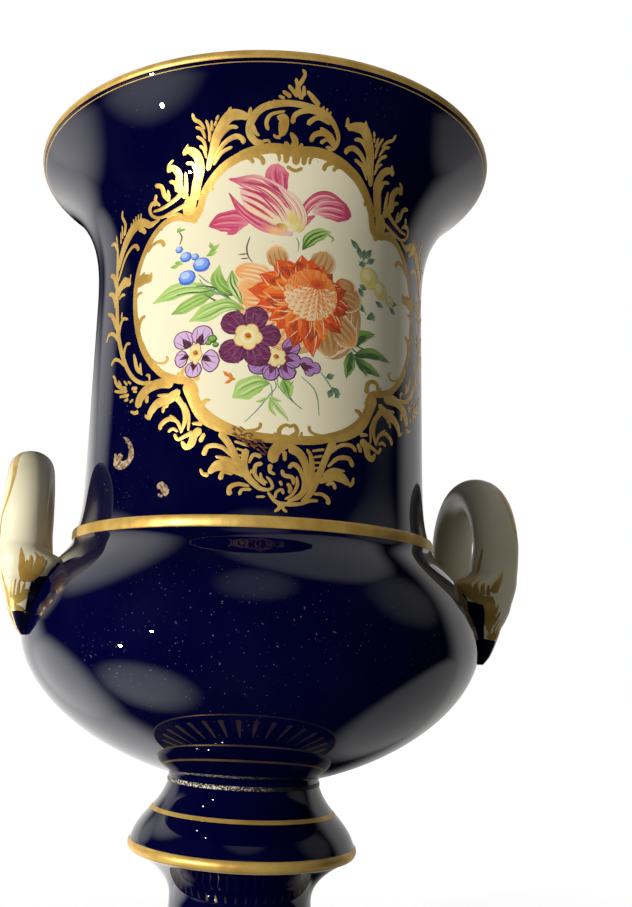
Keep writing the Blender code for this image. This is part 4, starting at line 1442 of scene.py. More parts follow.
class VASE_OT_frame(bpy.types.Operator):
    """Draw the gold scrollwork frame round the reserve"""

    bl_idname = "vase.frame"
    bl_label = "Gold frame"

    def execute(self, context):
        relief = sizes().gold_relief / MM
        canvas = Canvas()
        random.seed(11)
        combs = []
        for x in COMB_ACROSS:
            foot = 268.6 - 0.10 * (x + 55.0) ** 2
            combs.append(([(x, foot), (x + 0.3, foot + 2.4)], [0.8, 0.6]))
        strokes = mirrored(MIRRORED_SCROLLS + combs) + TOP_SCROLLS + PENDANT_SCROLLS
        strokes += [([(x - 0.35, z), (x + 0.35, z + 0.1)], [0.8, 0.8]) for x, z in TOP_BEADS]
        for number, (points, widths) in enumerate(strokes):
            shaken = [w * random.uniform(0.93, 1.07) for w in widths]
            canvas.stroke(points, shaken, 0.02 + 0.012 * (number % 4), relief, sides=4, pitch=0.6)
        canvas.finish("gold_scrolls", material(bright_gold), "gilding")
        inner = Canvas()
        for number, (points, widths) in enumerate(mirrored(MIRRORED_CURLS) + SHELL_CURLS):
            inner.stroke(points, widths, 0.07 + 0.008 * (number % 4), 0.5 * relief, sides=4,
                         pitch=0.6)
        inner.finish("gold_curls", material(matt_gold), "gilding")
        rim = Canvas()
        edge = reserve_edge(240)
        closed = [tuple(p) for p in edge] + [tuple(edge[0])]
        outline = []
        for i, point in enumerate(closed):
            before = Vector(closed[i - 1] if i else closed[-2])
            after = Vector(closed[i + 1] if i + 1 < len(closed) else closed[1])
            run = (after - before).normalized()
            out = Vector((-run.y, run.x))
            outline.append(tuple(Vector(point) + out * 0.75))
        for first in range(0, len(outline) - 1, 12):
            stretch = outline[first:first + 13]
            middle = first / len(outline)
            swell = 2.5 + 0.5 * math.cos(4.0 * math.pi * middle)
            rim.stroke(stretch, [swell, swell], 0.065, 0.5 * relief, sides=4, pitch=0.6,
                       rounded=False)
        rim.finish("gold_border", material(matt_gold), "gilding")
        return {"FINISHED"}


# Enamel colours
DEEP_PINK = (0.50, 0.035, 0.11)
PINK = (0.62, 0.08, 0.17)
ROSE = (0.76, 0.22, 0.28)
PALE_ROSE = (0.84, 0.50, 0.46)
CREAM = (0.86, 0.76, 0.46)
YELLOW = (0.80, 0.60, 0.16)
BUTTER = (0.84, 0.68, 0.30)
PALE_BUTTER = (0.88, 0.78, 0.46)
AMBER = (0.55, 0.20, 0.02)
ORANGE = (0.86, 0.19, 0.012)
RED_ORANGE = (0.70, 0.075, 0.004)
RED_BROWN = (0.42, 0.04, 0.004)
LIGHT_ORANGE = (0.86, 0.36, 0.10)
PEACH = (0.88, 0.48, 0.20)
PALE_PEACH = (0.90, 0.66, 0.40)
BRONZE = (0.44, 0.19, 0.045)
TAN = (0.60, 0.34, 0.13)
PLUM = (0.135, 0.012, 0.075)
DARK_PLUM = (0.055, 0.004, 0.030)
MULBERRY = (0.21, 0.035, 0.13)
LILAC = (0.40, 0.20, 0.48)
PALE_LILAC = (0.62, 0.42, 0.66)
BLUE = (0.05, 0.14, 0.62)
MID_BLUE = (0.16, 0.32, 0.78)
PALE_BLUE = (0.42, 0.58, 0.88)
LEAF = (0.20, 0.38, 0.06)
LIGHT_LEAF = (0.40, 0.60, 0.15)
PALE_LEAF = (0.60, 0.72, 0.34)
DARK_LEAF = (0.045, 0.12, 0.025)
SEA_GREEN = (0.20, 0.34, 0.24)
OLIVE = (0.52, 0.50, 0.12)
TWIG = (0.17, 0.07, 0.05)


class Bouquet:
    """Enamel strokes laid layer on layer on the reserve."""

    def __init__(self):
        self.canvas = Canvas()
        self.base = 0.075
        self.step = sizes().paint_step / MM

    def petal(self, points, widths, colours, layer, sides=6):
        self.canvas.stroke(points, widths, self.base + self.step * layer, 0.006,
                           colours=colours, sides=sides, pitch=0.8)

    def line(self, points, width, colour, layer):
        self.canvas.stroke(points, [width * 0.7, width, width * 0.5],
                           self.base + self.step * layer, 0.004, colours=[colour, colour],
                           sides=2, pitch=0.8)

    def disc(self, centre, across, high, colour, layer):
        x, z = centre
        half = across / 2.0
        self.petal([(x - half, z), (x + half, z)], [high * 0.9, high, high * 0.9],
                   [colour, colour], layer)

    def feathered(self, points, widths, ground, streaks, layer, count=5, reach=0.96):
        """A petal with fine streaks along it in turn in each of the streak colours."""
        self.petal(points, widths, ground, layer)
        spine = through(points, 9)
        for i in range(count):
            side = (i + 0.5) / count * 2.0 - 1.0
            side *= 0.82
            path = []
            last = reach * (1.0 - 0.22 * side * side) * random.uniform(0.86, 1.0)
            for k in range(1, 8):
                share = k / 7.0 * last
                index = min(int(share * 8), 7)
                spot = spine[index].lerp(spine[index + 1], share * 8 - index)
                run = (spine[index + 1] - spine[index]).normalized()
                across = Vector((-run.y, run.x))
                path.append(tuple(spot + across * (side * along(widths, share) / 2.0)))
            colour = streaks[i % len(streaks)]
            thick = max(widths) / count * random.uniform(0.45, 0.75)
            self.canvas.stroke(path, [0.1, thick, thick * 0.8, 0.08],
                               self.base + self.step * (layer + 0.5), 0.003,
                               colours=[colour, colour], sides=2, pitch=1.0)

    def leaf(self, points, width, layer, light=LIGHT_LEAF, dark=LEAF, vein=DARK_LEAF):
        """A pointed leaf with a darker half and a vein."""
        self.petal(points, [0.3, width * 0.8, width, width * 0.6, 0.1], [dark, light, light],
                   layer)
        shifted = [(x, z - width * 0.18) for x, z in points]
        self.petal(shifted, [0.2, width * 0.40, width * 0.50, 0.2, 0.05], [dark, dark],
                   layer + 0.5)
        self.line(points, 0.26, vein, layer + 1)

    def auricula(self, centre, petals, petal, edge, blotch, heart, eye, layer):
        """Round petals, each a disc in a darker edge with a blotch, about a pale heart."""
        cx, cz = centre
        for number, (angle, away, across, high) in enumerate(petals):
            ux, uz = math.cos(math.radians(angle)), math.sin(math.radians(angle))
            spot = (cx + ux * away, cz + uz * away)
            if blotch is None:
                notch = (spot[0] + ux * 1.0, spot[1] + uz * 1.0)
                self.disc((notch[0] - uz * 1.6, notch[1] + ux * 1.6), across * 0.62,
                          high * 0.62, petal, layer + 0.9 + 0.6 * (number % 2))
                self.disc((notch[0] + uz * 1.6, notch[1] - ux * 1.6), across * 0.62,
                          high * 0.62, petal, layer + 0.9 + 0.6 * (number % 2))
                for bow in (-26.0, -9.0, 9.0, 26.0):
                    vx = math.cos(math.radians(angle + bow))
                    vz = math.sin(math.radians(angle + bow))
                    self.line([(cx + vx * away * 0.62, cz + vz * away * 0.62),
                               (cx + vx * away * 1.42, cz + vz * away * 1.42)],
                              0.55, MULBERRY, layer + 1.6 + 0.6 * (number % 2))
            low = layer + 0.6 * (number % 2)
            self.disc(spot, across + 0.7, high + 0.7, edge, low)
            self.disc(spot, across, high, petal, low + 0.3)
            if blotch is not None:
                root = (cx + ux * away * 0.45, cz + uz * away * 0.45)
                tip = (cx + ux * away * 1.12, cz + uz * away * 1.12)
                self.petal([root, tip], [across * 0.30, across * 0.46, across * 0.30, 0.3],
                           [blotch, blotch], low + 0.5)
            for turn in (-16.0, 0.0, 16.0):
                vx = math.cos(math.radians(angle + turn))
                vz = math.sin(math.radians(angle + turn))
                self.line([(cx + vx * away * 0.5, cz + vz * away * 0.5),
                           (cx + vx * away * 1.35, cz + vz * away * 1.35)], 0.22, edge, low + 0.7)
        across, high = heart
        for i in range(5):
            angle = math.radians(72.0 * i + petals[0][0])
            spot = (cx + math.cos(angle) * across * 0.30, cz + math.sin(angle) * high * 0.30)
            self.disc(spot, across * 0.60, high * 0.60, TAN, layer + 1.8)
            self.disc(spot, across * 0.52, high * 0.52, BUTTER, layer + 2.1)
        self.disc(centre, across * 0.60, high * 0.60, PALE_BUTTER, layer + 2.5)
        self.disc(centre, eye * 1.5, eye * 1.4, YELLOW, layer + 2.8)
        self.petal([(centre[0] - eye * 0.5, centre[1] + eye * 0.35),
                    (centre[0] + eye * 0.5, centre[1] - eye * 0.1)],
                   [eye * 0.5, eye * 0.9, eye * 0.4], [AMBER, RED_BROWN], layer + 3.1, sides=4)


def tulip(b):
    """A feathered tulip, blown open, leaning left."""
    random.seed(21)
    b.feathered([(-3.0, 270), (-4.2, 274), (-5.2, 277.6), (-5.0, 280.6)], [2.0, 5.4, 7.6, 5.4],
                [PINK, PINK, ROSE], [DEEP_PINK, ROSE, PINK], 0, 6)
    b.feathered([(3.6, 262), (5.4, 268), (10.5, 271.8), (19.5, 270.4)], [1.4, 3.4, 4.4, 1.6],
                [PINK, DEEP_PINK, PINK], [PALE_ROSE, PINK, ROSE], 0, 5)
    b.feathered([(7.0, 266.2), (11.5, 268.2), (16.4, 268.4), (21.2, 267.6)], [1.6, 6.6, 7.6, 3.4],
                [PALE_ROSE, PINK, DEEP_PINK], [ROSE, PALE_ROSE, DEEP_PINK], 1, 8)
    b.feathered([(2.6, 259.2), (4.6, 262.8), (8.2, 265.4)], [1.4, 2.8, 0.6], [ROSE, DEEP_PINK],
                [ROSE, PINK], 2, 3)
    b.feathered([(-13.4, 261.2), (-18, 261.8), (-23, 261.8), (-27.0, 260.8)],
                [1.8, 8.2, 6.6, 1.6], [ROSE, PINK, DEEP_PINK], [DEEP_PINK, ROSE, PINK], 1, 8)
    b.petal([(-17, 259.4), (-19.4, 258.2), (-20.6, 257.4)], [2.4, 2.6, 1.2], [PINK, PINK], 1.4)
    b.petal([(-1.0, 267.4), (-6.6, 264.2), (-10.4, 265.4), (-16.4, 272.6)],
            [6.0, 7.4, 6.4, 2.2], [CREAM, PALE_PEACH, PALE_ROSE], 2)
    b.feathered([(-1.0, 258.6), (-8.0, 260.0), (-15.6, 265.0), (-20.4, 271.6)],
                [2.4, 4.0, 2.8, 0.5], [PALE_ROSE, PINK, DEEP_PINK], [DEEP_PINK, ROSE], 3, 4)
    b.feathered([(1.0, 259.4), (-2.6, 267.4), (-10.0, 273.2), (-20.4, 275.9)],
                [5.4, 8.6, 6.4, 0.8], [CREAM, PALE_ROSE, PINK], [PINK, PALE_PEACH, DEEP_PINK],
                4, 9)
    for first, bend, last in (((-4, 263.6), (-10, 268.2), (-16.6, 271.0)),
                              ((-3, 265.6), (-9, 270.4), (-17.4, 273.0)),
                              ((-2, 268.2), (-8, 273.0), (-17.0, 275.0)),
                              ((-5.4, 262.6), (-11, 266.2), (-15.8, 269.0)),
                              ((1.2, 265.4), (-3.0, 271.2), (-9.4, 275.0))):
        b.petal([first, bend, last], [0.3, 1.0, 0.9, 0.2], [ROSE, DEEP_PINK, DEEP_PINK], 5.2,
                sides=3)
    b.feathered([(2.4, 258.8), (3.6, 263.2), (1.4, 268.4), (-4.6, 273.4)], [2.2, 4.0, 3.4, 0.5],
                [YELLOW, CREAM, PALE_ROSE], [PALE_ROSE, CREAM, ROSE], 5.6, 6)
    b.petal([(0.6, 258.8), (1.2, 262.4), (-1.6, 266.8)], [2.4, 3.4, 0.8], [CREAM, YELLOW, CREAM],
            6.6)
    b.petal([(0.8, 258.0), (-5, 258.6), (-10.4, 261.0)], [1.6, 2.4, 0.5],
            [PALE_ROSE, PEACH, PINK], 6.8)
    b.petal([(-4.8, 260.8), (-2.6, 260.4), (-0.8, 259.6)], [1.0, 2.0, 1.1], [AMBER, YELLOW], 7.4,
            sides=4)
    b.line([(2.0, 257.2), (3.0, 255), (2.8, 252)], 0.42, SEA_GREEN, 0)


# Guard petals of the peony: path, greatest width, ground colours, streak colours
GUARDS = [
    ([(-2.4, 246.0), (-4.0, 250.0), (-4.4, 254.0)], 7.4, (BRONZE, TAN, PEACH), (BRONZE, TAN)),
    ([(9.0, 246.0), (11.6, 250.0), (12.6, 254.0)], 9.0, (BRONZE, TAN, TAN), (BRONZE, TAN)),
    ([(-5.0, 242.0), (-12.0, 244.0), (-18.0, 244.6)], 7.0,
     (LIGHT_ORANGE, PEACH, LIGHT_ORANGE), (PALE_PEACH, LIGHT_ORANGE)),
    ([(-4.0, 240.0), (-10.6, 238.0), (-17.0, 240.0)], 8.6,
     (ORANGE, LIGHT_ORANGE, PEACH), (PEACH, LIGHT_ORANGE)),
    ([(-4.0, 236.0), (-10.0, 234.4), (-15.4, 235.0)], 8.0,
     (LIGHT_ORANGE, PEACH, LIGHT_ORANGE), (PALE_PEACH, ORANGE)),
    ([(-2.0, 232.0), (-7.0, 227.6), (-11.4, 224.6)], 9.0,
     (LIGHT_ORANGE, PEACH, PEACH), (PALE_PEACH, LIGHT_ORANGE)),
    ([(0.0, 230.0), (-3.4, 224.4), (-4.4, 220.0)], 9.4,
     (LIGHT_ORANGE, PEACH, LIGHT_ORANGE), (PALE_PEACH, TAN)),
    ([(3.0, 229.0), (3.0, 223.0), (3.4, 218.8)], 7.6,
     (ORANGE, LIGHT_ORANGE, PEACH), (PEACH, TAN)),
    ([(11.0, 230.0), (13.4, 223.0), (14.4, 217.0)], 10.4, (BRONZE, BRONZE, TAN), (TAN, BRONZE)),
    ([(14.0, 231.0), (20.0, 226.4), (24.0, 222.6)], 9.4,
     (BRONZE, TAN, LIGHT_ORANGE), (BRONZE, TAN)),
    ([(17.0, 239.0), (22.0, 238.4), (26.0, 236.6)], 9.6, (RED_ORANGE, BRONZE, TAN), (BRONZE, TAN)),
    ([(16.0, 243.0), (20.4, 243.0), (23.6, 241.6)], 5.0, (RED_ORANGE, BRONZE, BRONZE), (TAN,)),
]
# Ragged petals: direction in degrees, how far the tip reaches, width, and how deep the colour is
RAGGED = [
    (98, 15.4, 5.6, 1), (82, 14.0, 4.8, 0), (66, 14.4, 5.0, 1), (113, 13.6, 4.4, 0),
    (126, 17.2, 7.0, 1), (141, 15.6, 5.0, 0), (157, 17.8, 6.6, 1), (173, 18.8, 7.0, 0),
    (188, 17.4, 5.6, 1), (202, 14.8, 5.0, 0), (217, 14.4, 5.0, 1), (231, 14.8, 5.0, 0),
    (246, 16.4, 5.4, 1), (260, 18.2, 5.6, 1), (273, 19.2, 5.6, 1), (286, 17.0, 5.0, 0),
    (300, 16.6, 5.2, 0), (315, 16.8, 5.0, 1), (330, 15.6, 5.0, 1), (344, 15.0, 4.8, 2),
    (358, 15.8, 5.2, 2), (13, 15.0, 5.0, 1), (28, 14.2, 4.8, 2), (44, 13.4, 4.8, 1),
]
PEONY_CENTRE = (6.0, 236.6)
DEPTHS = ((ORANGE, LIGHT_ORANGE), (RED_ORANGE, ORANGE), (RED_BROWN, RED_ORANGE))


def peony(b):
    """A full orange flower: bronze guard petals, a ragged ring and a pale ball."""
    random.seed(5)
    for mass, widths, tints in (
            ([(-12.0, 245.4), (-9.6, 239.0), (-9.4, 232.6), (-5.6, 226.4), (1.6, 221.6),
              (8.0, 219.4)], [9.0, 13.6, 12.4, 13.0, 9.4, 4.0], [LIGHT_ORANGE, PEACH, TAN]),
            ([(8.6, 221.6), (15.6, 222.6), (20.6, 227.6), (21.8, 234.4), (21.6, 239.6)],
             [6.6, 11.0, 9.4, 8.6, 4.0], [BRONZE, TAN, BRONZE])):
        b.feathered(mass, widths, tints, (PALE_PEACH, tints[0], tints[1]), 2.0, 9)
    for number, (points, width, ground, streaks) in enumerate(GUARDS):
        b.petal(list(points), [width * 0.5, width * 1.02, width, width * 0.62],
                [PALE_PEACH, PALE_PEACH], 2.6 + 0.3 * (number % 2))
        inset = [points[0], points[1], tuple(0.93 * q + 0.07 * p for p, q in zip(*points[1:]))]
        b.feathered(inset, [width * 0.45, width * 0.92, width * 0.90, width * 0.52],
                    list(ground), streaks, 2.8 + 0.3 * (number % 2), 7)
    centre = Vector(PEONY_CENTRE)
    for ring, (reach_share, root, level) in enumerate(((1.0, 5.0, 4.4), (0.80, 4.6, 5.6))):
        for number, (angle, reach, width, depth) in enumerate(RAGGED):
            turned_by = angle + (6.0 if ring else 0.0)
            u = Vector((math.cos(math.radians(turned_by)), math.sin(math.radians(turned_by))))
            side = Vector((-u.y, u.x)) * random.uniform(-1.6, 1.6)
            far = reach * reach_share * random.uniform(0.93, 1.05)
            dark, light = DEPTHS[min(depth + (number + ring) % 2, 2)]
            path = [tuple(centre + u * root), tuple(centre + u * far * 0.62 + side * 0.4),
                    tuple(centre + u * far + side)]
            b.feathered(path, [width * 0.7, width, width * 0.9, 0.6], [light, dark, dark],
                        (light, dark, RED_ORANGE, LIGHT_ORANGE), level + 0.2 * (number % 3), 4)
            if (number + ring) % 2 == 0:
                away = Vector((-u.y, u.x)) * (width * 0.42)
                edge = [tuple(centre + u * root + away * 0.5), tuple(Vector(path[1]) + away),
                        tuple(Vector(path[2]) - u * 0.6)]
                b.line(edge, 0.34, PALE_PEACH, level + 0.9)
    ball = Vector((7.6, 237.6))
    b.disc(tuple(ball), 18.8, 18.0, ORANGE, 7.2)
    heart = Vector((9.6, 241.4))
    for row in range(7):
        count = 22 - 2 * row
        share = 1.0 - row / 7.6
        for i in range(count):
            angle = math.radians(360.0 * (i + 0.5 * (row % 2)) / count)
            u = Vector((math.cos(angle), math.sin(angle)))
            rim = ball + Vector((u.x * 9.2, u.y * 8.8))
            foot = heart.lerp(rim, share)
            top = heart.lerp(rim, share * 0.52)
            swing = Vector((-u.y, u.x)) * (1.3 if u.x < 0 else -1.3) * share
            low = u.y < 0.30
            warm = u.x > 0.35 or u.y > 0.15
            tints = [PEACH, LIGHT_ORANGE, ORANGE] if warm else [PALE_PEACH, PEACH, LIGHT_ORANGE]
            if not low:
                tints = [LIGHT_ORANGE, ORANGE, RED_ORANGE]
            width = (2.6 if low else 2.1) * (0.35 + 0.65 * share)
            b.petal([tuple(foot), tuple(foot.lerp(top, 0.5) + swing), tuple(top)],
                    [width * 0.7, width, width * 0.7, 0.2], tints, 7.6 + 0.55 * row, sides=4)
            b.petal([tuple(foot.lerp(top, 0.1) + swing * 0.2),
                     tuple(foot.lerp(top, 0.5) + swing * 1.4), tuple(top)],
                    [0.2, 0.55, 0.15], [RED_ORANGE if warm else ORANGE, ORANGE],
                    7.9 + 0.55 * row, sides=2)
            if low and (i + row) % 2:
                b.petal([tuple(foot), tuple(foot.lerp(top, 0.5) + swing * 0.4), tuple(top)],
                        [0.4, 0.6, 0.15], [CREAM, PALE_PEACH], 8.0 + 0.55 * row, sides=2)
    for i in range(12):
        angle = math.radians(30.0 * i + 8.0)
        tip = heart + Vector((math.cos(angle) * 3.4, math.sin(angle) * 2.2 + 0.3))
        b.petal([tuple(heart), tuple(tip)], [0.8, 1.5, 0.3], [RED_BROWN, RED_ORANGE, ORANGE],
                11.8 + 0.3 * (i % 2), sides=3)
    for i in range(9):
        angle = math.radians(196.0 + 18.0 * i)
        foot = ball + Vector((math.cos(angle) * 9.4, math.sin(angle) * 9.0))
        tip = ball + Vector((math.cos(angle) * 6.4, math.sin(angle) * 4.6))
        b.line([tuple(foot), tuple(tip)], 0.34, CREAM, 9.4)


def small_flowers(b):
    """Plum and lilac auriculas, blue cups and yellow berries."""
    random.seed(8)
    b.auricula((-29.6, 217.0), [(132, 6.6, 7.0, 5.6), (72, 6.4, 7.0, 6.0), (196, 5.2, 4.4, 5.6),
                                (-28, 5.8, 5.6, 7.4), (-96, 5.4, 5.4, 4.8)],
               PALE_LILAC, PLUM, DARK_PLUM, (4.0, 6.8), 1.9, 4)
    b.auricula((-3.4, 215.6), [(38, 6.0, 5.6, 5.6), (-8, 5.4, 5.0, 4.6), (-52, 5.8, 5.4, 4.8),
                               (-108, 5.4, 5.2, 4.8), (208, 6.4, 6.2, 5.4)],
               LILAC, DARK_PLUM, PLUM, (5.8, 5.4), 1.8, 4)
    b.auricula((-12.6, 222.2), [(136, 6.6, 8.0, 7.2), (70, 6.8, 7.4, 7.0), (4, 6.6, 7.4, 6.4),
                                (-62, 6.6, 8.4, 7.4), (-134, 6.8, 8.6, 7.4)],
               PLUM, DARK_PLUM, None, (8.2, 7.6), 2.1, 6)
    for spot, across, high in (((6.4, 214.6), 4.4, 3.4), ((9.2, 213.2), 4.0, 3.6),
                               ((7.4, 211.8), 3.2, 2.8)):
        b.disc(spot, across + 0.5, high + 0.5, PLUM, 4.6)
        b.disc(spot, across, high, LILAC, 4.8)
        b.petal([(4.6, 213.4), spot], [0.5, 1.5, 0.3], [DARK_PLUM, PLUM], 5.2, sides=3)
    for (x, z), radius in (((-29, 247.6), 3.1), ((-34, 243.6), 3.2), ((-34.8, 251), 2.2),
                           ((-37.4, 254), 1.5), ((-31.4, 250.6), 1.5)):
        b.disc((x, z), radius * 2.0, radius * 1.62, BLUE, 3)
        b.disc((x - 0.2, z + radius * 0.14), radius * 1.7, radius * 1.25, MID_BLUE, 3.4)
        b.disc((x - radius * 0.2, z + radius * 0.26), radius * 1.1, radius * 0.75, PALE_BLUE, 3.8)
    for (x, z), radius in (((29.6, 248.0), 3.8), ((35.2, 245.0), 3.2), ((40.2, 242.6), 1.9)):
        b.disc((x, z), radius * 2.0 + 0.4, radius * 1.9 + 0.4, OLIVE, 3)
        b.disc((x, z), radius * 2.0, radius * 1.9, (0.80, 0.66, 0.18), 3.3)
        b.disc((x - radius * 0.2, z + radius * 0.25), radius * 1.2, radius * 1.0,
               (0.88, 0.80, 0.38), 3.6)
        b.line([(x - radius * 0.2, z - radius * 0.8), (x + radius * 0.3, z),
                (x - radius * 0.1, z + radius * 0.8)], 0.26, OLIVE, 4)


def leaves_and_stems(b):
    """Leaves, stems, sprigs and twigs."""
    random.seed(3)
    b.feathered([(-22, 236.6), (-29, 239.2), (-37, 239.6), (-47.4, 236.6)], [0.8, 4.0, 5.4, 0.8],
                [LEAF, LIGHT_LEAF, LIGHT_LEAF], (LIGHT_LEAF, PALE_LEAF, LEAF), 1, 6)
    b.feathered([(-24, 237.0), (-30, 235.2), (-35, 233.0), (-39.4, 231.4)], [0.8, 4.4, 4.4, 0.6],
                [LEAF, LIGHT_LEAF, LEAF], (LEAF, LIGHT_LEAF), 1.6, 5)
    b.feathered([(-14, 231.4), (-20, 233.0), (-26, 230.8), (-32.6, 228.2)], [0.8, 4.6, 6.0, 0.8],
                [LEAF, LIGHT_LEAF, LIGHT_LEAF], (LIGHT_LEAF, LEAF, PALE_LEAF), 2.4, 6)
    b.feathered([(-16.6, 236), (-20.6, 238.4), (-23.4, 242), (-22.8, 247.0)], [0.8, 4.4, 4.4, 0.6],
                [DARK_LEAF, LEAF, LIGHT_LEAF], (LEAF, LIGHT_LEAF), 2.0, 5)
    b.feathered([(-14.6, 233), (-16.4, 237.4), (-18.2, 240.6), (-18.6, 245.0)],
                [0.8, 3.8, 3.8, 0.6], [LEAF, LIGHT_LEAF, LEAF], (PALE_LEAF, DARK_LEAF), 2.6, 5)
    b.feathered([(4.2, 252.8), (7.0, 257.2), (10.4, 259.4), (14.2, 260.8)], [0.6, 4.4, 4.2, 0.6],
                [DARK_LEAF, LEAF, LIGHT_LEAF], (LIGHT_LEAF, DARK_LEAF), 1, 5)
    b.line([(12.4, 259.8), (15.0, 258.6), (14.2, 257.2)], 0.7, LEAF, 1)
    b.leaf([(22.6, 222.6), (27, 227), (32.6, 229.0)], 4.2, 1, LEAF, DARK_LEAF)
    b.leaf([(23, 219.6), (31, 221.8), (40.4, 221)], 4.0, 2, LEAF, DARK_LEAF)
    b.leaf([(22.6, 221), (21.6, 216), (20.4, 211.4)], 4.4, 3, LEAF, DARK_LEAF)
    b.leaf([(24, 219), (29, 216.6), (35.4, 214.8)], 3.8, 3, LEAF, DARK_LEAF)
    b.leaf([(24, 219), (27.0, 216.0), (29.0, 213.6)], 2.6, 3.4, LEAF, DARK_LEAF)
    b.feathered([(-5, 206.8), (-8.4, 206.8), (-12.4, 205.0), (-17.0, 201.8)], [0.8, 6.0, 7.0, 1.0],
                [LEAF, LIGHT_LEAF, LIGHT_LEAF], (LIGHT_LEAF, PALE_LEAF, LEAF), 2, 7)
    b.leaf([(-1.2, 208.8), (0.2, 205.8), (1.4, 202.4)], 4.4, 2)
    b.leaf([(-5.4, 202.4), (-2.4, 199.0), (1.2, 195.0)], 2.0, 3, PALE_LEAF, LIGHT_LEAF, LEAF)
    b.leaf([(-6, 202), (-8, 201.0), (-9.6, 200.8)], 1.5, 3, PALE_LEAF, LIGHT_LEAF, LEAF)
    b.leaf([(-5, 201.6), (-4.8, 198.6), (-3.0, 196.4)], 1.6, 3.4, PALE_LEAF, LIGHT_LEAF, LEAF)
    b.leaf([(-5, 202.6), (-3.2, 201.6), (-1.4, 201.2)], 1.4, 3.4, PALE_LEAF, LIGHT_LEAF, LEAF)
    for spot, size in (((-24.2, 221.6), 3.4), ((-23.0, 219.6), 2.2), ((-25.4, 220.4), 2.2)):
        b.disc(spot, size, size * 0.8, DARK_LEAF, 7.4)
        b.disc((spot[0], spot[1] + 0.2), size * 0.7, size * 0.5, LEAF, 7.7)
    stems = [
        ([(-14, 231), (-19, 235), (-24, 239), (-31, 240.4)], 0.8, DARK_LEAF),
        ([(-14.4, 231), (-20, 235.6), (-27, 239.4), (-29.6, 242.8)], 0.6, SEA_GREEN),
        ([(-15, 230.6), (-21, 233), (-28, 237.4)], 0.7, DARK_LEAF),
        ([(-30, 244.4), (-27, 241.6), (-24, 240.0)], 0.45, SEA_GREEN),
        ([(-23.6, 238.6), (-27, 238.0), (-33, 238.2), (-38, 238.0)], 0.45, DARK_LEAF),
        ([(-4, 208.6), (-3.2, 205.8), (-5, 203.4), (-9, 198), (-13, 193.8)], 0.4, SEA_GREEN),
        ([(-3, 209), (-2.4, 206), (1, 202.4), (5.4, 199.0)], 0.4, SEA_GREEN),
        ([(4.6, 210), (8.8, 206.6), (10.4, 203), (11.0, 197.4)], 0.38, SEA_GREEN),
        ([(2.4, 208.4), (0.6, 205.0), (2.4, 201.4), (5.4, 199.2)], 0.35, DARK_LEAF),
        ([(-5, 206.8), (-4.4, 203.6), (-5.4, 201.0)], 0.4, SEA_GREEN),
        ([(-13, 256.6), (-14, 252.8), (-13.4, 249.6), (-11.8, 247.4)], 0.5, TWIG),
        ([(-13.6, 250.6), (-16.8, 250.2)], 0.45, TWIG),
        ([(-13.2, 249.0), (-16.0, 248.8)], 0.45, TWIG),
        ([(-37.8, 260.6), (-36.6, 258.4), (-37.4, 255.6)], 0.5, TWIG),
        ([(-38.6, 260.6), (-35.2, 261.0)], 0.8, LEAF),
        ([(25, 253), (27, 250.6)], 0.4, SEA_GREEN),
        ([(26.4, 244), (25.6, 239), (28.6, 234.6)], 0.5, SEA_GREEN),
        ([(11, 212.4), (14.2, 208.6), (16.6, 205)], 0.45, SEA_GREEN),
        ([(22, 224), (27, 222.6), (33, 222)], 0.5, DARK_LEAF),
        ([(20, 226), (22, 222.4), (25, 220.6)], 0.6, DARK_LEAF),
    ]
    for points, width, colour in stems:
        b.line(points, width, colour, 2)
    sprigs = [((-26.6, 251.4), (-23.0, 254.4)), ((-27.6, 250.4), (-23.6, 251.8)),
              ((-25.6, 252.8), (-26.4, 255.2)), ((-39.0, 249.8), (-35.6, 248.6)),
              ((-40.6, 248.2), (-37.0, 248.4)), ((-38.4, 260.2), (-37.2, 262.0))]
    for (x0, z0), (x1, z1) in sprigs:
        b.petal([(x0, z0), (x1, z1)], [0.4, 1.6, 0.3], [LEAF, LIGHT_LEAF], 2, sides=4)
    cool = [((21.6, 260.0), (25.4, 256.6)), ((24.6, 258.4), (26.0, 254.0)),
            ((27.4, 257.8), (27, 253.6)), ((30.4, 258.6), (28, 254.6)),
            ((32, 255.6), (28.4, 253.0)), ((25.2, 251.6), (28.2, 253.2)),
            ((28.6, 233.4), (32, 235.6)), ((27.2, 235.4), (25.2, 238.4)),
            ((30.4, 236.4), (32.0, 233.4)), ((25.2, 243.6), (27.0, 240.6)),
            ((28.4, 243.6), (25.4, 244.8)), ((38, 241.6), (45, 243.0)),
            ((32.6, 240.6), (36.4, 239.4)), ((40, 240.4), (43.4, 239.0)),
            ((13.0, 210.4), (16.2, 211.8)), ((15.2, 207.6), (18.4, 205.4)),
            ((15.2, 207.0), (14.2, 203.8)), ((16.6, 205.6), (17.8, 204.4))]
    for (x0, z0), (x1, z1) in cool:
        b.petal([(x0, z0), (x1, z1)], [0.4, 2.2, 0.3], [DARK_LEAF, SEA_GREEN], 2, sides=4)
    for (x0, z0), (x1, z1) in (((-20.2, 210.8), (-18.0, 208.6)), ((-19.6, 206.6), (-17.0, 207.8)),
                               ((-18.2, 210.4), (-17.0, 207.6)), ((-18.4, 208.2), (-16.0, 208.0))):
        b.petal([(x0, z0), (x1, z1)], [0.3, 1.2, 0.3], [ORANGE, AMBER], 2, sides=4)


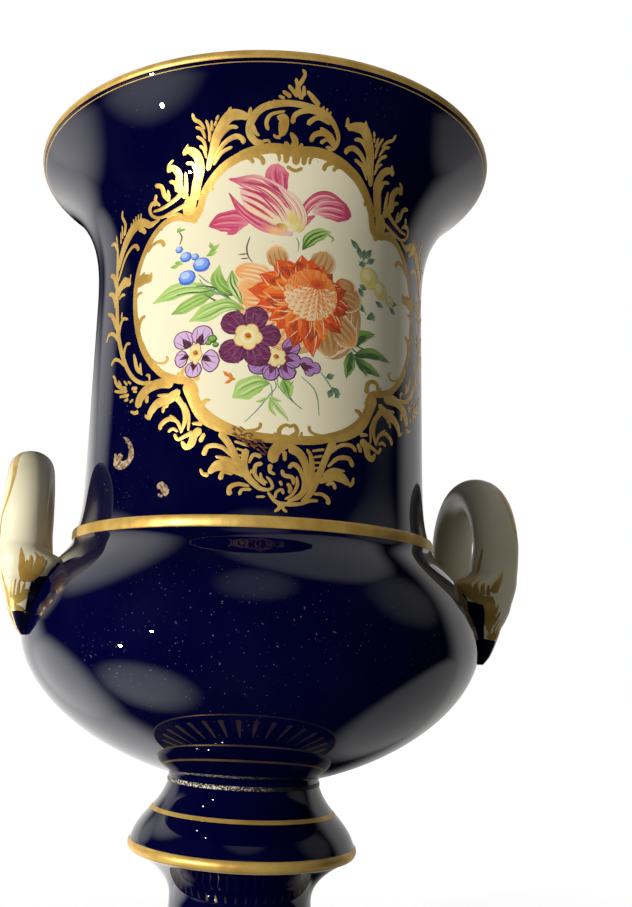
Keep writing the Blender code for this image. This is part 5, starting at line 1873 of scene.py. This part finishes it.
# Crusts on the blue ground and worn places in the frame, millimetres across and of height
CRUSTS = [
    ([(-57.6, 192), (-55.6, 191), (-53.8, 188.6), (-53, 186), (-54.2, 183.4),
      (-57.4, 182.4), (-60.4, 184), (-61.6, 186.4)], [0.6, 1.2, 1.8, 2.2, 2.6, 3.2, 3.4, 1.6]),
    ([(-59.8, 186.2), (-57, 185)], [2, 1.4]),
    ([(-61.8, 187), (-60.6, 185)], [0.9, 1.4]),
    ([(-56.2, 191.8), (-55.6, 189.8)], [0.8, 1.2]),
    ([(-40.6, 173), (-39.6, 174.4), (-37.8, 172.6), (-37.2, 170.6)], [1.2, 2.4, 3, 1.6]),
    ([(-40.2, 171.4), (-38.4, 170.4)], [1, 1.2]),
]
WORN_STREAKS = 46


class VASE_OT_wear(bpy.types.Operator):
    """Add the crusts on the glaze and the rubbed place in the frame"""

    bl_idname = "vase.wear"
    bl_label = "Wear"

    def execute(self, context):
        random.seed(14)
        crusts = Canvas()
        for number, (points, widths) in enumerate(CRUSTS):
            ragged = [w * random.uniform(0.8, 1.2) for w in widths]
            crusts.stroke(points, ragged, 0.03 + 0.02 * (number % 2), 0.10, sides=8, pitch=0.3)
        for vert in crusts.shape.verts:
            vert.co += Vector([random.uniform(-0.00010, 0.00010) for _ in range(3)])
        crusts.finish("crusts", material(scab), "cobalt_glaze")
        rubbed = Canvas()
        for _ in range(WORN_STREAKS):
            x = random.uniform(-17.0, -6.6)
            z = 193.0 - (x + 17.0) * 0.62 + random.uniform(-3.0, 1.6)
            run = Vector((random.uniform(0.8, 2.6), random.uniform(-2.0, 0.6)))
            rubbed.stroke([(x, z), tuple(Vector((x, z)) + run)],
                          [0.2, random.uniform(0.3, 0.7), 0.15], 0.14, 0.01, sides=2, pitch=0.6)
        rubbed.finish("rubbed_gold", material(rubbed_gold), "gilding")
        return {"FINISHED"}


class VASE_OT_bouquet(bpy.types.Operator):
    """Paint a bunch of garden flowers on the reserve"""

    bl_idname = "vase.bouquet"
    bl_label = "Bouquet"

    def execute(self, context):
        b = Bouquet()
        leaves_and_stems(b)
        tulip(b)
        peony(b)
        small_flowers(b)
        b.canvas.finish("bouquet", material(painted_enamel), "white_glaze")
        return {"FINISHED"}


# The view: a camera close to the vase at its left front, tilted up a little
CAMERA_REACH = 0.35
CAMERA_HEIGHT = 0.12075
CAMERA_TURN = 8.8
CAMERA_PITCH = 12.19
CAMERA_YAW = -2.248
CAMERA_ROLL = 2.334
LENS_PX = 949.04
CENTRE_SHIFT_PX = (98.7, 2.1)
PHOTO_SIZE = (632, 907)
SENSOR = 36.0


def add_camera():
    turn = math.radians(-CAMERA_TURN)
    place = Matrix.Rotation(turn, 4, "Z") @ Vector((0.0, -CAMERA_REACH, CAMERA_HEIGHT))
    facing = (Matrix.Rotation(turn, 4, "Z") @ Matrix.Rotation(math.radians(-CAMERA_YAW), 4, "Z")
              @ Matrix.Rotation(math.radians(90.0 + CAMERA_PITCH), 4, "X")
              @ Matrix.Rotation(math.radians(CAMERA_ROLL), 4, "Z"))
    data = bpy.data.cameras.new("view")
    data.sensor_width = SENSOR
    data.lens = LENS_PX / PHOTO_SIZE[1] * SENSOR
    data.shift_x = CENTRE_SHIFT_PX[0] / PHOTO_SIZE[1]
    data.shift_y = CENTRE_SHIFT_PX[1] / PHOTO_SIZE[1]
    data.clip_start = 0.01
    camera = bpy.data.objects.new("view", data)
    camera.matrix_world = Matrix.Translation(place) @ facing
    bpy.context.scene.collection.objects.link(camera)
    bpy.context.scene.camera = camera


# Lamps: where they stand, what they aim at, their size and power
KEY_PLACE = (-0.981, -0.753, 0.084)
KEY_AIM = (-0.02, -0.03, 0.20)
KEY_SIZE = 0.035
GLINT_PLACE = (-0.325, -0.145, 0.010)
GLINT_AIM = (-0.045, -0.065, 0.20)
GLINT_SIZE = 0.014
GLINT_POWER = 0.20


def add_area(name, place, aim, size, energy, colour=(1.0, 1.0, 1.0)):
    """A round light of the given size at a place, turned to face a point."""
    data = bpy.data.lights.new(name, "AREA")
    data.shape = "DISK"
    data.size = size
    data.energy = energy
    data.color = colour
    lamp = bpy.data.objects.new(name, data)
    lamp.location = place
    lamp.rotation_mode = "QUATERNION"
    lamp.rotation_quaternion = (Vector(aim) - Vector(place)).to_track_quat("-Z", "Y")
    bpy.context.scene.collection.objects.link(lamp)
    return lamp


FLAG_PLACE = (0.052, -0.020, 0.150)
FLAG_FACING = (0.821, 0.567, 0.062)
FLAG_RADIUS = 0.046


def add_flag():
    """A card that keeps the key light off the right handle; it only casts a shadow."""
    shape = bmesh.new()
    turn = Vector(FLAG_FACING).to_track_quat("Z", "Y").to_matrix().to_4x4()
    bmesh.ops.create_circle(shape, cap_ends=True, radius=FLAG_RADIUS, segments=32,
                            matrix=Matrix.Translation(FLAG_PLACE) @ turn)
    flag = linked("flag", shape)
    flag.data.materials.append(material(floor_paper))
    for ray in ("camera", "glossy", "diffuse", "transmission"):
        setattr(flag, "visible_" + ray, False)
    return flag


# What the glaze mirrors: pale paper behind and overhead, and a dark room in front. Each soft
# panel is a direction, the cosines between which it fades in, and its strength.
PANELS = [
    ((-0.35, 0.90, -0.30), 0.76, 0.90, 1.25),
    ((-0.60, 0.64, -0.42), 0.880, 0.985, 1.80),
    ((-0.65, 0.66, 0.30), 0.960, 0.998, 0.90),
    ((0.62, 0.70, 0.12), 0.76, 0.92, 0.62),
    ((0.70, 0.45, -0.50), 0.88, 0.94, 0.45),
    ((0.30, 0.05, 0.95), 0.86, 0.93, 0.48),
    ((0.83, -0.10, 0.50), 0.920, 0.995, 0.22),
    ((-0.58, 0.42, 0.70), 0.890, 0.990, 1.20),
    ((-0.58, 0.00, -0.81), 0.920, 0.995, 1.20),
    ((-0.05, -0.60, 0.80), 0.940, 0.998, 0.36),
]
ROOM = 0.006


def add_world():
    """White to the camera, a dark room with pale panels to the glaze, and a dim even fill."""
    world = bpy.data.worlds.new("studio")
    bpy.context.scene.world = world
    world.use_nodes = True
    world.cycles.sampling_method = "NONE"
    tree = world.node_tree
    nodes, links = tree.nodes, tree.links
    place = nodes.new("ShaderNodeTexCoord")
    total = None
    for direction, low, high, strength in PANELS:
        towards = nodes.new("ShaderNodeVectorMath")
        towards.operation = "DOT_PRODUCT"
        towards.inputs[1].default_value = Vector(direction).normalized()
        links.new(place.outputs["Generated"], towards.inputs[0])
        fade = nodes.new("ShaderNodeMapRange")
        fade.interpolation_type = "SMOOTHSTEP"
        fade.inputs["From Min"].default_value = low
        fade.inputs["From Max"].default_value = high
        fade.inputs["To Min"].default_value = ROOM
        fade.inputs["To Max"].default_value = strength
        links.new(towards.outputs["Value"], fade.inputs["Value"])
        if total is None:
            total = fade.outputs["Result"]
            continue
        join = nodes.new("ShaderNodeMath")
        join.operation = "MAXIMUM"
        links.new(total, join.inputs[0])
        links.new(fade.outputs["Result"], join.inputs[1])
        total = join.outputs["Value"]
    mirrored_room = nodes["Background"]
    mirrored_room.inputs["Color"].default_value = (1.0, 0.985, 0.96, 1.0)
    links.new(total, mirrored_room.inputs["Strength"])
    fill = nodes.new("ShaderNodeBackground")
    fill.inputs["Color"].default_value = (1.0, 1.0, 1.0, 1.0)
    fill.inputs["Strength"].default_value = stage().fill
    paper = nodes.new("ShaderNodeBackground")
    paper.inputs["Color"].default_value = (1.0, 1.0, 1.0, 1.0)
    ray = nodes.new("ShaderNodeLightPath")
    softer = nodes.new("ShaderNodeMixShader")
    links.new(ray.outputs["Is Diffuse Ray"], softer.inputs["Fac"])
    links.new(mirrored_room.outputs["Background"], softer.inputs[1])
    links.new(fill.outputs["Background"], softer.inputs[2])
    seen = nodes.new("ShaderNodeMixShader")
    links.new(ray.outputs["Is Camera Ray"], seen.inputs["Fac"])
    links.new(softer.outputs["Shader"], seen.inputs[1])
    links.new(paper.outputs["Background"], seen.inputs[2])
    links.new(seen.outputs["Shader"], nodes["World Output"].inputs["Surface"])


def floor_paper(s):
    """Pale paper, a little lit from within so that it fades into the white far away."""
    grain = s.spread(s.noise(220.0, 3.0), 0.3, 0.7)
    s.link(s.mix(grain, (0.78, 0.78, 0.775), (0.83, 0.83, 0.825)), s.shader.inputs["Base Color"])
    s.shader.inputs["Roughness"].default_value = 0.9
    s.shader.inputs["Specular IOR Level"].default_value = 0.1
    s.shader.inputs["Emission Color"].default_value = (1.0, 1.0, 1.0, 1.0)
    away = s.add("ShaderNodeVectorMath", operation="LENGTH")
    s.link(s.place(), away.inputs[0])
    s.link(s.spread(away.outputs["Value"], 0.10, 0.80, 0.80, 1.0),
           s.shader.inputs["Emission Strength"])
    return s.material


class VASE_OT_stage(bpy.types.Operator):
    """Set the floor, the lights, the world and the camera"""

    bl_idname = "vase.stage"
    bl_label = "Stage"

    def execute(self, context):
        shape = bmesh.new()
        bmesh.ops.create_circle(shape, cap_ends=True, radius=stage().floor_radius, segments=96,
                                matrix=Matrix.Translation((0.0, 0.0, -0.0004)))
        floor = linked("floor", shape)
        floor.data.materials.append(material(floor_paper))
        floor.visible_glossy = False
        floor.visible_diffuse = False
        add_flag()
        add_world()
        add_area("key_left", KEY_PLACE, KEY_AIM, KEY_SIZE, stage().key_power, (1.0, 0.985, 0.95))
        add_area("glint_low", GLINT_PLACE, GLINT_AIM, GLINT_SIZE, GLINT_POWER, (1.0, 0.97, 0.88))
        add_camera()
        context.scene.view_settings.view_transform = "Standard"
        return {"FINISHED"}


class VASE_PT_panel(bpy.types.Panel):
    """Buttons for each group of pieces"""

    bl_label = "Medici vase"
    bl_idname = "VASE_PT_panel"
    bl_space_type = "VIEW_3D"
    bl_region_type = "UI"
    bl_category = "Vase"

    def draw(self, context):
        for group, kind in GROUPS.items():
            for name in kind.__annotations__:
                self.layout.prop(getattr(context.scene, group), name)
        for step in STEPS:
            self.layout.operator(step.bl_idname)


STEPS = (VASE_OT_vessel, VASE_OT_pedestal, VASE_OT_handles, VASE_OT_rings, VASE_OT_rays,
         VASE_OT_reserve, VASE_OT_frame, VASE_OT_bouquet, VASE_OT_wear, VASE_OT_stage)


GROUPS = {"vase_sizes": VaseSizes, "vase_look": VaseLook, "vase_stage": VaseStage}


def register():
    for kind in (*GROUPS.values(), *STEPS, VASE_PT_panel):
        bpy.utils.register_class(kind)
    for name, kind in GROUPS.items():
        setattr(bpy.types.Scene, name, bpy.props.PointerProperty(type=kind))


def unregister():
    for name in GROUPS:
        delattr(bpy.types.Scene, name)
    for kind in (VASE_PT_panel, *reversed(STEPS), *GROUPS.values()):
        bpy.utils.unregister_class(kind)


def main():
    register()
    for step in STEPS:
        group, name = step.bl_idname.split(".")
        getattr(getattr(bpy.ops, group), name)()


if __name__ == "__main__":
    main()
